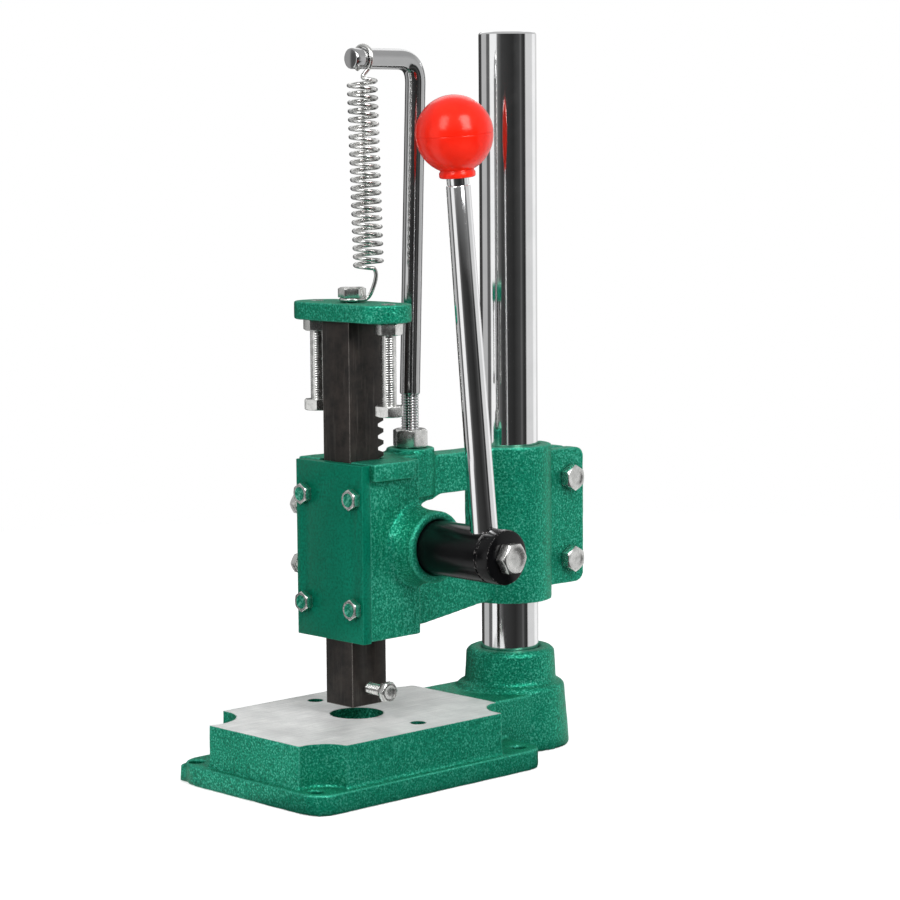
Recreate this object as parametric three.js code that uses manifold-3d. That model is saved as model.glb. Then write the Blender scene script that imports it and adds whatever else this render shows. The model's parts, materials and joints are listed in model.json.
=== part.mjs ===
// Snap setting press: a small bench press with a rack and pinion ram, which
// slides up and down a round column.
//
// Millimetres, +Z up. The origin is on the column's axis, on the underside of
// the base. The operator stands at -Y and the handle is on the +X side.

import * as THREE from 'three';
import { mergeVertices } from 'three/addons/utils/BufferGeometryUtils.js';
import Module from 'manifold-3d';

const wasm = await Module();
wasm.setup();

// ---------------------------------------------------------------- clearances
const GAP = 0.3; // between pieces that touch or slide
const BOLT_CLEARANCE = 0.3; // round a bolt, on the radius
const SEAT = 0.3; // under a head, nut or washer

// -------------------------------------------------------------------- column
const COLUMN_DIA = 32;
const COLUMN_TOP = 398;
const COLUMN_CHAMFER = 1.5;
const COLUMN_SOCKET_FLOOR = 6; // cast iron left under the column
const THROAT = 116.5; // ram axis to column axis
const RAM_Y = -THROAT;

// ---------------------------------------------------------------------- base
const TABLE_TOP = 33.5;
const TABLE_HALF_WIDTH = 56;
const TABLE_FRONT = 75.5; // ahead of the ram axis
const TABLE_BACK = 72; // behind the ram axis
const TABLE_DRAFT = 1.4;
const FLANGE_THICKNESS = 10.9;
const FLANGE_LEDGE = 4; // beyond the right side and front of the table
const FLANGE_LEDGE_LEFT = 2.5;
const FLANGE_BACK = 85; // behind the ram axis
const FLANGE_CORNER = 12;
const FLANGE_CORNER_LEFT = 17; // the front left one is rounder
const FLANGE_HOLE_DIA = 8.4;
const FLANGE_HOLE_X = 48.5;
const FLANGE_HOLE_FRONT = 71.5; // ahead of the ram axis
const FLANGE_HOLE_REAR = 74; // behind it
// The table's corners are scooped out round the flange's bolt holes, each a little
// differently, as moulded: x, distance behind the ram axis, radius.
const SCALLOPS = [
  [-52, -68, 21],
  [57, -73, 16.2],
  [-52, 72, 18],
  [52, 72, 18],
];
const BASE_WALL = 9;
const BASE_ROOF = 13;
const FOOT_DIA = 66;
const FOOT_TOP = 35.5;
const FOOT_TAPER = 2.6; // the foot's radius is this much less at its top
const NECK_HALF_WIDTH = 29;
const NECK_TOP = 32.6;
const COLLAR_DIA = 51.4;
const COLLAR_TOP = 55;
const COLLAR_TAPER = 0.8;
const COLLAR_BEVEL = 2.2;
const DIE_HOLE_DIA = 29;
const TOOL_HOLE_DIA = 8.5;
const TOOL_HOLE_X = 41.5;
const TOOL_HOLE_BACK = 6.5; // the tool holes lie this far behind the ram axis
const SET_SCREW_DIA = 8;
const SET_SCREW_LENGTH = 7;
const SET_SCREW_Z = 45;
const SET_SCREW_HEX = 4;

// ----------------------------------------------------------------------- ram
const RAM_WIDTH = 21;
const RAM_DEPTH = 24;
const RAM_BOTTOM = 39.7;
const RAM_TOP = 245;
const DIE_SOCKET_DIA = 10;
const DIE_SOCKET_DEPTH = 26;

// ---------------------------------------------------------- rack and pinion
const GEAR_MODULE = 2;
const PINION_TEETH = 12;
const PRESSURE_ANGLE = THREE.MathUtils.degToRad(20);
const RACK_ADDENDUM = 1.4; // stubbed, so that its tips clear the pinion's roots
const DEDENDUM = 2.5;
const BACKLASH = 0.3;
const RACK_END_ABOVE = 50; // plain bar between the cap and the first tooth
const RACK_PHASE = 1.3; // the tooth space beside the pinion's axis is this much above it
const RACK_TEETH_BELOW = 5; // teeth below the pinion's axis at rest, for the lift
const PINION_Z = 125.3;

// -------------------------------------------------------------- head casting
const BLOCK_HALF_WIDTH = 26.4;
const BLOCK_BACK = 22.9; // behind the ram axis
const BLOCK_BOTTOM = 77;
const BLOCK_TOP = 171.5;
const PLATE_THICKNESS = 5.6;
const PLATE_OVERLAP = 0.7; // the plate stops this far from the block's ends
const LUG_OUT = 30.5;
const LUG_BACK = 17;
const LUG_HEIGHT = 9.5;
const BOSS_DIA = 38.6;
const BOSS_END = 40.5;
const BOSS_FLARE = 4; // at the block's side only
const FLARE_LENGTH = 10;
const FAR_BOSS_END = -28.4;
const HANGER_BOSS_DIA = 26;
const HANGER_BOSS_TOP = 174.2;
const ARM_THICKNESS = 18;
const ARM_TOP = 170;
const ARM_BAR_DEPTH = 22;
const ARM_BOTTOM_FRONT = 78;
const ARM_BOTTOM_REAR = 85.4;
const WINDOW_REAR = 90; // behind the ram axis
const WINDOW_TOP = ARM_TOP - ARM_BAR_DEPTH;
// The window's rough front end, never dressed: distance behind the ram axis, height.
const WINDOW_FRONT = [
  [40.5, 108],
  [40.5, 143.5],
  [44.5, 145],
  [49, 145.4],
  [52.5, 147],
  [55.5, WINDOW_TOP],
];
const WINDOW_BOTTOM_REAR = 96;
const SLEEVE_DIA = 47;
const SLEEVE_BOTTOM = 82.4;
const SLEEVE_TOP = 169.9;
const EAR_BACK = 49.3; // behind the column axis
const EAR_THICKNESS = 21; // over both ears
const EAR_BOTTOM = 87.8;
const EAR_TOP = 165;
const EAR_CORNER = 6;
const EAR_SPLIT = 3;
const CLAMP_BOLT_Y = 37.5;
const CLAMP_BOLT_Z = [101.8, 148.3];

// -------------------------------------------------- cover plate and gib
const COVER_BOLT_X = 19.4;
const COVER_BOLT_Z = [94.5, 152.8];
const COVER_BOLT_DEPTH = 8; // into the casting
const GIB_THICKNESS = 3;
const GIB_END_INSET = 6;
const GIB_SCREW_Y = -4; // from the ram axis
const GIB_SCREW_Z = [111.4, 143.9];
const GIB_SCREW_OUT = 42.4; // how far its head stands from the ram axis

// ------------------------------------------------------------- cap and stops
const CAP_THICKNESS = 9.7;
const CAP_HALF_LENGTH = 39;
const CAP_HALF_WIDTH = 15.5;
const STOP_X = 28.4;
const STOP_HEAD_BOTTOM = 195.7;

// ------------------------------------------------------------ shaft and grip
const SHAFT_DIA = 29;
const SHAFT_OUTER_END = 92.8;
const SHAFT_END_BEVEL = 1.2;
const HANDLE_X = 77;
const HANDLE_LEAN = THREE.MathUtils.degToRad(5.4);
const HANDLE_FOOT = 8; // rod below the shaft's axis
const HANDLE_TOP = 192.7; // from the shaft's axis
const HANDLE_DIA_LOW = 14.5;
const HANDLE_DIA_HIGH = 12.4;
const HANDLE_NECK_DIA = 11.4;
const HANDLE_NECK_END = 212;
const BALL_DIA = 40;
const BALL_CENTRE = 218.3;
const BALL_COLLAR_DIA = 18.6;
const BALL_COLLAR_START = 196.4;
const RETAINER_RIM = 2.5; // of the retaining washer, beyond the shaft
const RETAINER_THICKNESS = 3;

// -------------------------------------------------------- hanger and spring
const HANGER_DIA = 11;
const HANGER_Y = 41; // behind the ram axis
const HANGER_LEAN = 6; // the rod's top is this much further back
const HANGER_ROOT = 158;
const HANGER_THREAD_TOP = 203;
const HANGER_ARM_Z = 382.4;
const HANGER_BEND = 13;
const HANGER_ARM_END = 0.8; // behind the ram axis
const SPRING_Y = 9.6; // behind the ram axis
const SPRING_OUTER_DIA = 16;
const SPRING_WIRE = 2;
const SPRING_TURNS = 22;
const SPRING_ASIDE = [1.2, -0.7]; // how far its foot and its top hang to the side
const SPRING_TOP = 371.5;
const SPRING_BOTTOM = 272.5;
const EYE_RADIUS = 5.8; // of the wire round the cap bolt
const EYE_GAP = 0.3;
const EYE_TAIL = 8; // how far behind the bolt the wire leaves the cap
const HOOK_GAP = 0.6; // between the hook's wire and the hanger

// ----------------------------------------------------------------- fasteners
// Hexagon sizes: thread diameter, width across flats, head and nut height.
const M6 = { dia: 6, flats: 10, head: 4, nut: 5 };
const M8 = { dia: 8, flats: 13, head: 5.3, nut: 6.5 };
const M10 = { dia: 10, flats: 16, head: 6.4, nut: 8 };
const HANGER_THREAD = { dia: 10, flats: 18, nut: 10 };
const STOP_SCREW = { dia: 8, flats: 14, head: 5.8 };

// -------------------------------------------------------------------- finish
const finishes = {
  castGreen: { color: 0x1f9270, roughness: 0.45, metalness: 0.3 },
  castGreenDark: { color: 0x0b7a55, roughness: 0.5, metalness: 0.3 },
  chrome: { color: 0xd9dadd, roughness: 0.1, metalness: 1 },
  zinc: { color: 0xb9bcbd, roughness: 0.35, metalness: 0.9 },
  blackSteel: { color: 0x3a3431, roughness: 0.5, metalness: 0.7 },
  blackGloss: { color: 0x0d0d0e, roughness: 0.15, metalness: 0.4 },
  bronze: { color: 0xa9803f, roughness: 0.4, metalness: 0.9 },
  redPlastic: { color: 0xf0301f, roughness: 0.2, metalness: 0 },
};

function material(finish) {
  return new THREE.MeshStandardMaterial(finishes[finish]);
}

// ------------------------------------------------------------- shape helpers
// Each makes a three.js geometry and returns it as a solid to join or cut.
const ROUND = 36; // sides of a round piece
const FINE = 48; // sides of a large round piece

function solid(geometry) {
  const bare = geometry.clone();
  bare.deleteAttribute('normal');
  bare.deleteAttribute('uv');
  const merged = mergeVertices(bare, 1e-4);
  return new wasm.Manifold(new wasm.Mesh({
    numProp: 3,
    vertProperties: new Float32Array(merged.attributes.position.array),
    triVerts: new Uint32Array(merged.index.array),
  }));
}

function geometryOf(shape) {
  const mesh = shape.getMesh();
  const geometry = new THREE.BufferGeometry();
  geometry.setAttribute('position', new THREE.BufferAttribute(mesh.vertProperties, 3));
  geometry.setIndex(new THREE.BufferAttribute(mesh.triVerts, 1));
  geometry.computeVertexNormals();
  return geometry;
}

// A box between two corners.
function block(x0, x1, y0, y1, z0, z1) {
  const geometry = new THREE.BoxGeometry(x1 - x0, y1 - y0, z1 - z0);
  geometry.translate((x0 + x1) / 2, (y0 + y1) / 2, (z0 + z1) / 2);
  return solid(geometry);
}

// Turns a geometry that runs along +Z so that it runs along another axis.
function along(geometry, axis) {
  if (axis === 'x') geometry.rotateY(Math.PI / 2);
  if (axis === 'y') geometry.rotateX(-Math.PI / 2);
  return geometry;
}

// A round bar along an axis, from one end to the other, centred at [x, y, z].
function bar(axis, dia, from, to, centre = [0, 0, 0], sides = ROUND) {
  const geometry = new THREE.CylinderGeometry(dia / 2, dia / 2, to - from, sides);
  geometry.rotateX(Math.PI / 2);
  geometry.translate(0, 0, (from + to) / 2);
  along(geometry, axis);
  geometry.translate(...centre);
  return solid(geometry);
}

// A turned piece: [radius, height] points from the axis and back to it.
function turned(points, axis = 'z', centre = [0, 0, 0], sides = ROUND) {
  const profile = points.map(([radius, height]) => new THREE.Vector2(radius, height));
  const geometry = new THREE.LatheGeometry(profile, sides);
  geometry.rotateX(Math.PI / 2);
  along(geometry, axis);
  geometry.translate(...centre);
  return solid(geometry);
}

// A flat outline pushed along +Z.
function prism(outline, z0, z1, curveSegments = 10) {
  const geometry = new THREE.ExtrudeGeometry(outline, {
    depth: z1 - z0,
    bevelEnabled: false,
    curveSegments,
  });
  geometry.translate(0, 0, z0);
  return geometry;
}

// An outline drawn in the YZ plane, pushed along X.
function sideProfile(points, x0, x1) {
  const outline = new THREE.Shape(points.map(([y, z]) => new THREE.Vector2(y, z)));
  const geometry = new THREE.ExtrudeGeometry(outline, { depth: x1 - x0, bevelEnabled: false });
  geometry.rotateY(Math.PI / 2);
  geometry.rotateX(Math.PI / 2);
  geometry.translate(x0, 0, 0);
  return solid(geometry);
}

function roundedRectangle(x0, x1, y0, y1, radius, firstRadius = radius) {
  const outline = new THREE.Shape();
  outline.moveTo(x0 + firstRadius, y0);
  outline.absarc(x1 - radius, y0 + radius, radius, -Math.PI / 2, 0, false);
  outline.absarc(x1 - radius, y1 - radius, radius, 0, Math.PI / 2, false);
  outline.absarc(x0 + radius, y1 - radius, radius, Math.PI / 2, Math.PI, false);
  outline.absarc(x0 + firstRadius, y0 + firstRadius, firstRadius, Math.PI, Math.PI * 1.5, false);
  return outline;
}

// A hexagon along an axis, with flats or corners towards the next axis.
function hexagon(axis, flats, from, to, centre = [0, 0, 0], turn = 0) {
  const geometry = new THREE.CylinderGeometry(flats / Math.sqrt(3), flats / Math.sqrt(3), to - from, 6);
  geometry.rotateX(Math.PI / 2);
  geometry.rotateZ(turn);
  geometry.translate(0, 0, (from + to) / 2);
  along(geometry, axis);
  geometry.translate(...centre);
  return solid(geometry);
}

// A hexagon-headed bolt whose shank starts at `seat` and runs to `tip`.
function hexBolt(size, axis, seat, tip, centre, turn = 0) {
  const side = Math.sign(seat - tip);
  const top = seat + side * size.head;
  const inHead = seat + side * (size.head / 2);
  return hexagon(axis, size.flats, Math.min(seat, top), Math.max(seat, top), centre, turn)
    .add(bar(axis, size.dia, Math.min(inHead, tip), Math.max(inHead, tip), centre, 24));
}

// A hexagon nut, bored to clear its bolt.
function hexNut(size, axis, from, centre, turn = 0) {
  return hexagon(axis, size.flats, from, from + size.nut, centre, turn)
    .subtract(bar(axis, size.dia + 2 * BOLT_CLEARANCE, from - 1, from + size.nut + 1, centre, 24));
}

function joined(shapes) {
  return shapes.reduce((sum, shape) => sum.add(shape));
}

function cut(shape, tools) {
  return tools.reduce((rest, tool) => rest.subtract(tool), shape);
}

const press = new THREE.Group();

function piece(name, shape, finish) {
  const mesh = new THREE.Mesh(geometryOf(shape), material(finish));
  mesh.name = name;
  press.add(mesh);
  return mesh;
}

// A hole for a bolt, the bolt's own size plus its clearance.
function boltHole(size, axis, from, to, centre) {
  return bar(axis, size.dia + 2 * BOLT_CLEARANCE, from, to, centre, 24);
}

// ---------------------------------------------------------------------- base
const tableFront = RAM_Y - TABLE_FRONT;
const tableBack = RAM_Y + TABLE_BACK;
const flangeHoles = [-1, 1].flatMap((side) => [
  [side * FLANGE_HOLE_X, RAM_Y - FLANGE_HOLE_FRONT],
  [side * FLANGE_HOLE_X, RAM_Y + FLANGE_HOLE_REAR],
]);

// The machined table, wider at its foot by the draft of the mould.
function tableBlock() {
  const outline = roundedRectangle(-TABLE_HALF_WIDTH, TABLE_HALF_WIDTH, tableFront, tableBack, 2);
  const geometry = prism(outline, 0, TABLE_TOP, 3);
  const middle = (tableFront + tableBack) / 2;
  const scaleX = 1 + TABLE_DRAFT / TABLE_HALF_WIDTH;
  const scaleY = 1 + TABLE_DRAFT / ((tableBack - tableFront) / 2);
  const position = geometry.attributes.position;
  for (let i = 0; i < position.count; i += 1) {
    if (position.getZ(i) < TABLE_TOP / 2) {
      position.setX(i, position.getX(i) * scaleX);
      position.setY(i, middle + (position.getY(i) - middle) * scaleY);
    }
  }
  const scallops = SCALLOPS.map(([x, y, radius]) => (
    bar('z', 2 * radius, FLANGE_THICKNESS - 2, TABLE_TOP + 1, [x, RAM_Y + y, 0], FINE)));
  return cut(solid(geometry), scallops);
}

function baseFlange() {
  const left = -TABLE_HALF_WIDTH - FLANGE_LEDGE_LEFT;
  const right = TABLE_HALF_WIDTH + FLANGE_LEDGE;
  const outline = roundedRectangle(left, right, tableFront - FLANGE_LEDGE, RAM_Y + FLANGE_BACK,
    FLANGE_CORNER, FLANGE_CORNER_LEFT);
  return solid(prism(outline, 0, FLANGE_THICKNESS, 8));
}

// The round foot and the collar that holds the column.
function columnFoot() {
  const foot = FOOT_DIA / 2;
  const collar = COLLAR_DIA / 2;
  return turned([
    [0, 0],
    [foot, 0],
    [foot - FOOT_TAPER, FOOT_TOP - 2],
    [foot - FOOT_TAPER - 2, FOOT_TOP],
    [collar + 1.5, FOOT_TOP],
    [collar, FOOT_TOP + 1.5],
    [collar - COLLAR_TAPER, COLLAR_TOP - COLLAR_BEVEL],
    [collar - COLLAR_TAPER - COLLAR_BEVEL, COLLAR_TOP],
    [0, COLLAR_TOP],
  ], 'z', [0, 0, 0], FINE);
}

function baseCasting() {
  const neck = block(-NECK_HALF_WIDTH, NECK_HALF_WIDTH, tableBack - 1, 0, 0, NECK_TOP);
  const pocketHalf = TABLE_HALF_WIDTH - BASE_WALL;
  const pocket = roundedRectangle(-pocketHalf, pocketHalf, tableFront + BASE_WALL,
    tableBack - BASE_WALL, 14);
  const pocketCorners = SCALLOPS.map(([x, y, radius]) => (
    bar('z', 2 * (radius + BASE_WALL - 3), -1, TABLE_TOP, [x, RAM_Y + y, 0], ROUND)));
  const hollow = cut(solid(prism(pocket, -1, TABLE_TOP - BASE_ROOF, 5)), pocketCorners);
  const shell = cut(joined([baseFlange(), tableBlock(), neck, columnFoot()]), [
    hollow,
    bar('z', COLUMN_DIA + 2 * GAP, COLUMN_SOCKET_FLOOR - GAP, COLLAR_TOP + 1, [0, 0, 0], FINE),
    bar('z', DIE_HOLE_DIA, -1, TABLE_TOP + 1, [0, RAM_Y, 0], ROUND),
    bar('y', SET_SCREW_DIA + 2 * BOLT_CLEARANCE, 10, COLLAR_DIA, [0, 0, SET_SCREW_Z], 24),
  ]);
  const toolHoles = [-1, 1].map((side) => (
    bar('z', TOOL_HOLE_DIA, -1, TABLE_TOP + 1,
      [side * TOOL_HOLE_X, RAM_Y + TOOL_HOLE_BACK, 0], 24)));
  const boltHoles = flangeHoles.map(([x, y]) => (
    bar('z', FLANGE_HOLE_DIA, -1, FLANGE_THICKNESS + 1, [x, y, 0], 24)));
  return cut(shell, [...toolHoles, ...boltHoles]);
}

piece('base_casting', baseCasting(), 'castGreen');

const columnRadius = COLUMN_DIA / 2;
piece('column', turned([
  [0, COLUMN_SOCKET_FLOOR],
  [columnRadius - COLUMN_CHAMFER, COLUMN_SOCKET_FLOOR],
  [columnRadius, COLUMN_SOCKET_FLOOR + COLUMN_CHAMFER],
  [columnRadius, COLUMN_TOP - COLUMN_CHAMFER],
  [columnRadius - COLUMN_CHAMFER, COLUMN_TOP],
  [0, COLUMN_TOP],
], 'z', [0, 0, 0], FINE), 'chrome');

// A socket-head grub screw in the back of the collar, against the column.
function collarSetScrew() {
  const tip = columnRadius + GAP;
  const screw = bar('y', SET_SCREW_DIA, tip, tip + SET_SCREW_LENGTH, [0, 0, SET_SCREW_Z], 24);
  const socket = hexagon('y', SET_SCREW_HEX, tip + SET_SCREW_LENGTH / 2, tip + SET_SCREW_LENGTH + 1,
    [0, 0, SET_SCREW_Z]);
  return screw.subtract(socket);
}
piece('collar_set_screw', collarSetScrew(), 'blackSteel');

// ------------------------------------------------------------- rack geometry
const rackTip = RAM_Y + RAM_DEPTH / 2;
const rackPitchLine = rackTip - RACK_ADDENDUM;
const pitchRadius = (GEAR_MODULE * PINION_TEETH) / 2;
const pinionY = rackPitchLine + pitchRadius + 0.1;
const rackPitch = Math.PI * GEAR_MODULE;
const pinionAxis = [0, pinionY, PINION_Z];

// The gap between two rack teeth, in the YZ plane, centred at height z.
function rackSpace(z) {
  const slope = Math.tan(PRESSURE_ANGLE);
  const half = rackPitch / 4 + BACKLASH / 4;
  const atTip = half + (RACK_ADDENDUM + 1) * slope;
  const atRoot = half - DEDENDUM * slope;
  return sideProfile([
    [rackTip + 1, z - atTip],
    [rackTip + 1, z + atTip],
    [rackPitchLine - DEDENDUM, z + atRoot],
    [rackPitchLine - DEDENDUM, z - atRoot],
  ], -RAM_WIDTH, RAM_WIDTH);
}

function ram() {
  const half = RAM_WIDTH / 2;
  const front = RAM_Y - RAM_DEPTH / 2;
  const body = block(-half, half, front, rackTip, RAM_BOTTOM, RAM_TOP);
  const spaces = [];
  const firstSpace = PINION_Z + RACK_PHASE;
  const topSpace = Math.floor((RAM_TOP - RACK_END_ABOVE - firstSpace) / rackPitch);
  for (let i = -RACK_TEETH_BELOW; i <= topSpace; i += 1) {
    spaces.push(rackSpace(firstSpace + i * rackPitch));
  }
  return cut(body, [
    ...spaces,
    bar('z', DIE_SOCKET_DIA, RAM_BOTTOM - 1, RAM_BOTTOM + DIE_SOCKET_DEPTH, [0, RAM_Y, 0], ROUND),
    boltHole(M6, 'x', 0, half + 1, [0, RAM_Y, dieScrewZ]),
    boltHole(M8, 'z', RAM_TOP - CAP_BOLT_GRIP - 1, RAM_TOP + 1, [0, RAM_Y, 0]),
  ]);
}

const DIE_SCREW_HEIGHT = 9; // above the ram's end
const DIE_SCREW_HEAD_X = 23;
const CAP_BOLT_GRIP = 18; // thread inside the ram
const dieScrewZ = RAM_BOTTOM + DIE_SCREW_HEIGHT;
piece('ram', ram(), 'blackSteel');

const dieScrewTip = DIE_SOCKET_DIA / 2 + 1;
piece('die_screw', hexBolt(M6, 'x', DIE_SCREW_HEAD_X, dieScrewTip, [0, RAM_Y, dieScrewZ]), 'zinc');

// --------------------------------------------------------- cap on the ram
const capTop = RAM_TOP + CAP_THICKNESS;

function capPlate() {
  const outline = roundedRectangle(-CAP_HALF_LENGTH, CAP_HALF_LENGTH,
    RAM_Y - CAP_HALF_WIDTH, RAM_Y + CAP_HALF_WIDTH, CAP_HALF_WIDTH - 0.01);
  const stopHoles = [-1, 1].map((side) => (
    boltHole(M8, 'z', RAM_TOP - 1, capTop + 1, [side * STOP_X, RAM_Y, 0])));
  return cut(solid(prism(outline, RAM_TOP, capTop, 8)), [
    ...stopHoles,
    boltHole(M8, 'z', RAM_TOP - 1, capTop + 1, [0, RAM_Y, 0]),
  ]);
}
piece('cap_plate', capPlate(), 'castGreen');

// The spring's lower eye lies on the cap, under the head of the bolt.
const eyeTop = capTop + SPRING_WIRE + 2 * EYE_GAP;
piece('cap_bolt', hexBolt(M8, 'z', eyeTop, RAM_TOP - CAP_BOLT_GRIP, [0, RAM_Y, 0]), 'zinc');

// The two stop screws hang from the cap and strike the lugs of the head.
for (const [name, side] of [['left', -1], ['right', 1]]) {
  const centre = [side * STOP_X, RAM_Y, 0];
  const headTop = STOP_HEAD_BOTTOM + STOP_SCREW.head;
  const screw = hexagon('z', STOP_SCREW.flats, STOP_HEAD_BOTTOM, headTop, centre)
    .add(bar('z', STOP_SCREW.dia, STOP_HEAD_BOTTOM + 1, capTop, centre, 24));
  piece(`stop_screw_${name}`, screw, 'zinc');
  piece(`stop_lock_nut_${name}`, hexNut(M8, 'z', RAM_TOP - M8.nut, centre), 'zinc');
}

// -------------------------------------------------------------- head casting
const channelFront = RAM_Y - RAM_DEPTH / 2 - GAP;
const channelBack = rackTip + GAP;
const channelRight = RAM_WIDTH / 2 + GAP;
const gibInner = -RAM_WIDTH / 2 - GAP;
const gibOuter = gibInner - GIB_THICKNESS;
const channelLeft = gibOuter - GAP;
const blockBack = RAM_Y + BLOCK_BACK;
const bossRadius = BOSS_DIA / 2;
const sleeveRadius = SLEEVE_DIA / 2;

// The boss round the pinion shaft, flared where it leaves the block.
function pinionBoss() {
  const far = turned([
    [0, FAR_BOSS_END],
    [bossRadius, FAR_BOSS_END],
    [bossRadius, BLOCK_HALF_WIDTH],
    [0, BLOCK_HALF_WIDTH],
  ], 'x', pinionAxis, FINE);
  const near = turned([
    [0, 0],
    [bossRadius, 0],
    [bossRadius, BOSS_END - 1],
    [bossRadius - 1, BOSS_END],
    [0, BOSS_END],
  ], 'x', pinionAxis, FINE);
  const flare = cut(turned([
    [0, 0],
    [bossRadius + BOSS_FLARE, 0],
    [bossRadius + BOSS_FLARE, BLOCK_HALF_WIDTH],
    [bossRadius + BOSS_FLARE * 0.55, BLOCK_HALF_WIDTH + FLARE_LENGTH * 0.2],
    [bossRadius + BOSS_FLARE * 0.25, BLOCK_HALF_WIDTH + FLARE_LENGTH * 0.5],
    [bossRadius, BLOCK_HALF_WIDTH + FLARE_LENGTH],
    [0, BLOCK_HALF_WIDTH + FLARE_LENGTH],
  ], 'x', pinionAxis, FINE), [
    block(-1, BOSS_END, blockBack, blockBack + BOSS_DIA, BLOCK_BOTTOM, BLOCK_TOP),
  ]);
  return far.add(near).add(flare);
}

// The lug on one side of the block, level with its top and cut back below.
function stopLug(side) {
  const front = channelFront;
  const back = RAM_Y + LUG_BACK;
  const low = BLOCK_TOP - LUG_HEIGHT;
  const outer = side * LUG_OUT;
  const inner = side * (BLOCK_HALF_WIDTH - 1);
  return block(Math.min(outer, inner), Math.max(outer, inner), front, back, low, BLOCK_TOP);
}

// The arm from the block to the sleeve, with its open window.
function arm() {
  const half = ARM_THICKNESS / 2;
  const start = blockBack - 1;
  const plate = sideProfile([
    [start, ARM_BOTTOM_FRONT],
    [RAM_Y + 42, ARM_BOTTOM_FRONT],
    [-sleeveRadius + 4, ARM_BOTTOM_REAR],
    [-sleeveRadius + 4, ARM_TOP - 1],
    [start, ARM_TOP],
  ], -half, half);
  const front = WINDOW_FRONT.map(([y, z]) => [RAM_Y + y, z]);
  const opening = sideProfile([
    ...front.slice(1).reverse(),
    front[0],
    [RAM_Y + WINDOW_REAR, WINDOW_BOTTOM_REAR],
    [RAM_Y + WINDOW_REAR, WINDOW_TOP],
  ], -half - 1, half + 1);
  return plate.subtract(opening);
}

// The two ears behind the sleeve, which the clamp bolts draw together.
function clampEars() {
  const outline = new THREE.Shape();
  outline.moveTo(0, EAR_BOTTOM);
  outline.lineTo(EAR_BACK - EAR_CORNER, EAR_BOTTOM);
  outline.absarc(EAR_BACK - EAR_CORNER, EAR_BOTTOM + EAR_CORNER, EAR_CORNER, -Math.PI / 2, 0, false);
  outline.absarc(EAR_BACK - EAR_CORNER, EAR_TOP - EAR_CORNER, EAR_CORNER, 0, Math.PI / 2, false);
  outline.lineTo(0, EAR_TOP);
  const points = outline.getPoints(5).map((p) => [p.x, p.y]);
  return sideProfile(points, -EAR_THICKNESS / 2, EAR_THICKNESS / 2);
}

function headCasting() {
  const hangerY = RAM_Y + HANGER_Y;
  const body = joined([
    block(-BLOCK_HALF_WIDTH, BLOCK_HALF_WIDTH, channelFront, blockBack, BLOCK_BOTTOM, BLOCK_TOP),
    pinionBoss(),
    stopLug(-1),
    stopLug(1),
    arm(),
    bar('z', HANGER_BOSS_DIA, ARM_TOP - ARM_BAR_DEPTH, HANGER_BOSS_TOP, [0, hangerY, 0], ROUND),
    block(-HANGER_BOSS_DIA / 2, HANGER_BOSS_DIA / 2, blockBack - 1, hangerY,
      ARM_TOP - ARM_BAR_DEPTH, BLOCK_TOP),
    bar('z', SLEEVE_DIA, SLEEVE_BOTTOM, SLEEVE_TOP, [0, 0, 0], FINE),
    clampEars(),
  ]);
  const coverHoles = [-1, 1].flatMap((side) => COVER_BOLT_Z.map((z) => (
    boltHole(M6, 'y', channelFront - 1, channelFront + COVER_BOLT_DEPTH + 1, [side * COVER_BOLT_X, 0, z]))));
  const gibHoles = GIB_SCREW_Z.map((z) => (
    boltHole(M6, 'x', -BLOCK_HALF_WIDTH - 1, channelLeft + 1, [0, RAM_Y + GIB_SCREW_Y, z])));
  const clampHoles = CLAMP_BOLT_Z.map((z) => (
    boltHole(M8, 'x', -EAR_THICKNESS, EAR_THICKNESS, [0, CLAMP_BOLT_Y, z])));
  return cut(body, [
    block(channelLeft, channelRight, channelFront - 1, channelBack, BLOCK_BOTTOM - 1, BLOCK_TOP + 5),
    bar('x', SHAFT_DIA + GAP, FAR_BOSS_END - 1, BOSS_END + 1, pinionAxis, FINE),
    bar('z', COLUMN_DIA + 2 * GAP, 0, SLEEVE_TOP + 1, [0, 0, 0], FINE),
    block(-EAR_SPLIT / 2, EAR_SPLIT / 2, 0, EAR_BACK + 1, SLEEVE_BOTTOM - 1, SLEEVE_TOP + 1),
    boltHole(HANGER_THREAD, 'z', HANGER_ROOT - GAP, HANGER_BOSS_TOP + 1, [0, hangerY, 0]),
    ...coverHoles,
    ...gibHoles,
    ...clampHoles,
  ]);
}
piece('head_casting', headCasting(), 'castGreen');

const plateFront = channelFront - PLATE_THICKNESS;

function coverPlate() {
  const slab = block(-BLOCK_HALF_WIDTH, BLOCK_HALF_WIDTH, plateFront, channelFront,
    BLOCK_BOTTOM - PLATE_OVERLAP, BLOCK_TOP - PLATE_OVERLAP);
  const holes = [-1, 1].flatMap((side) => COVER_BOLT_Z.map((z) => (
    boltHole(M6, 'y', plateFront - 1, channelFront + 1, [side * COVER_BOLT_X, 0, z]))));
  return cut(slab, holes);
}
piece('cover_plate', coverPlate(), 'castGreenDark');

let coverBolt = 0;
for (const z of COVER_BOLT_Z) {
  for (const side of [-1, 1]) {
    coverBolt += 1;
    piece(`cover_bolt_${coverBolt}`, hexBolt(M6, 'y', plateFront, channelFront + COVER_BOLT_DEPTH,
      [side * COVER_BOLT_X, 0, z]), 'castGreenDark');
  }
}

// The gib stops short of the pinion shaft, which crosses the channel behind it.
const gibBack = Math.min(channelBack, pinionY - SHAFT_DIA / 2 - GAP) - GAP;
piece('gib_strip', block(gibOuter, gibInner, channelFront + GAP, gibBack,
  BLOCK_BOTTOM + GIB_END_INSET, BLOCK_TOP - GIB_END_INSET), 'bronze');

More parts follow.
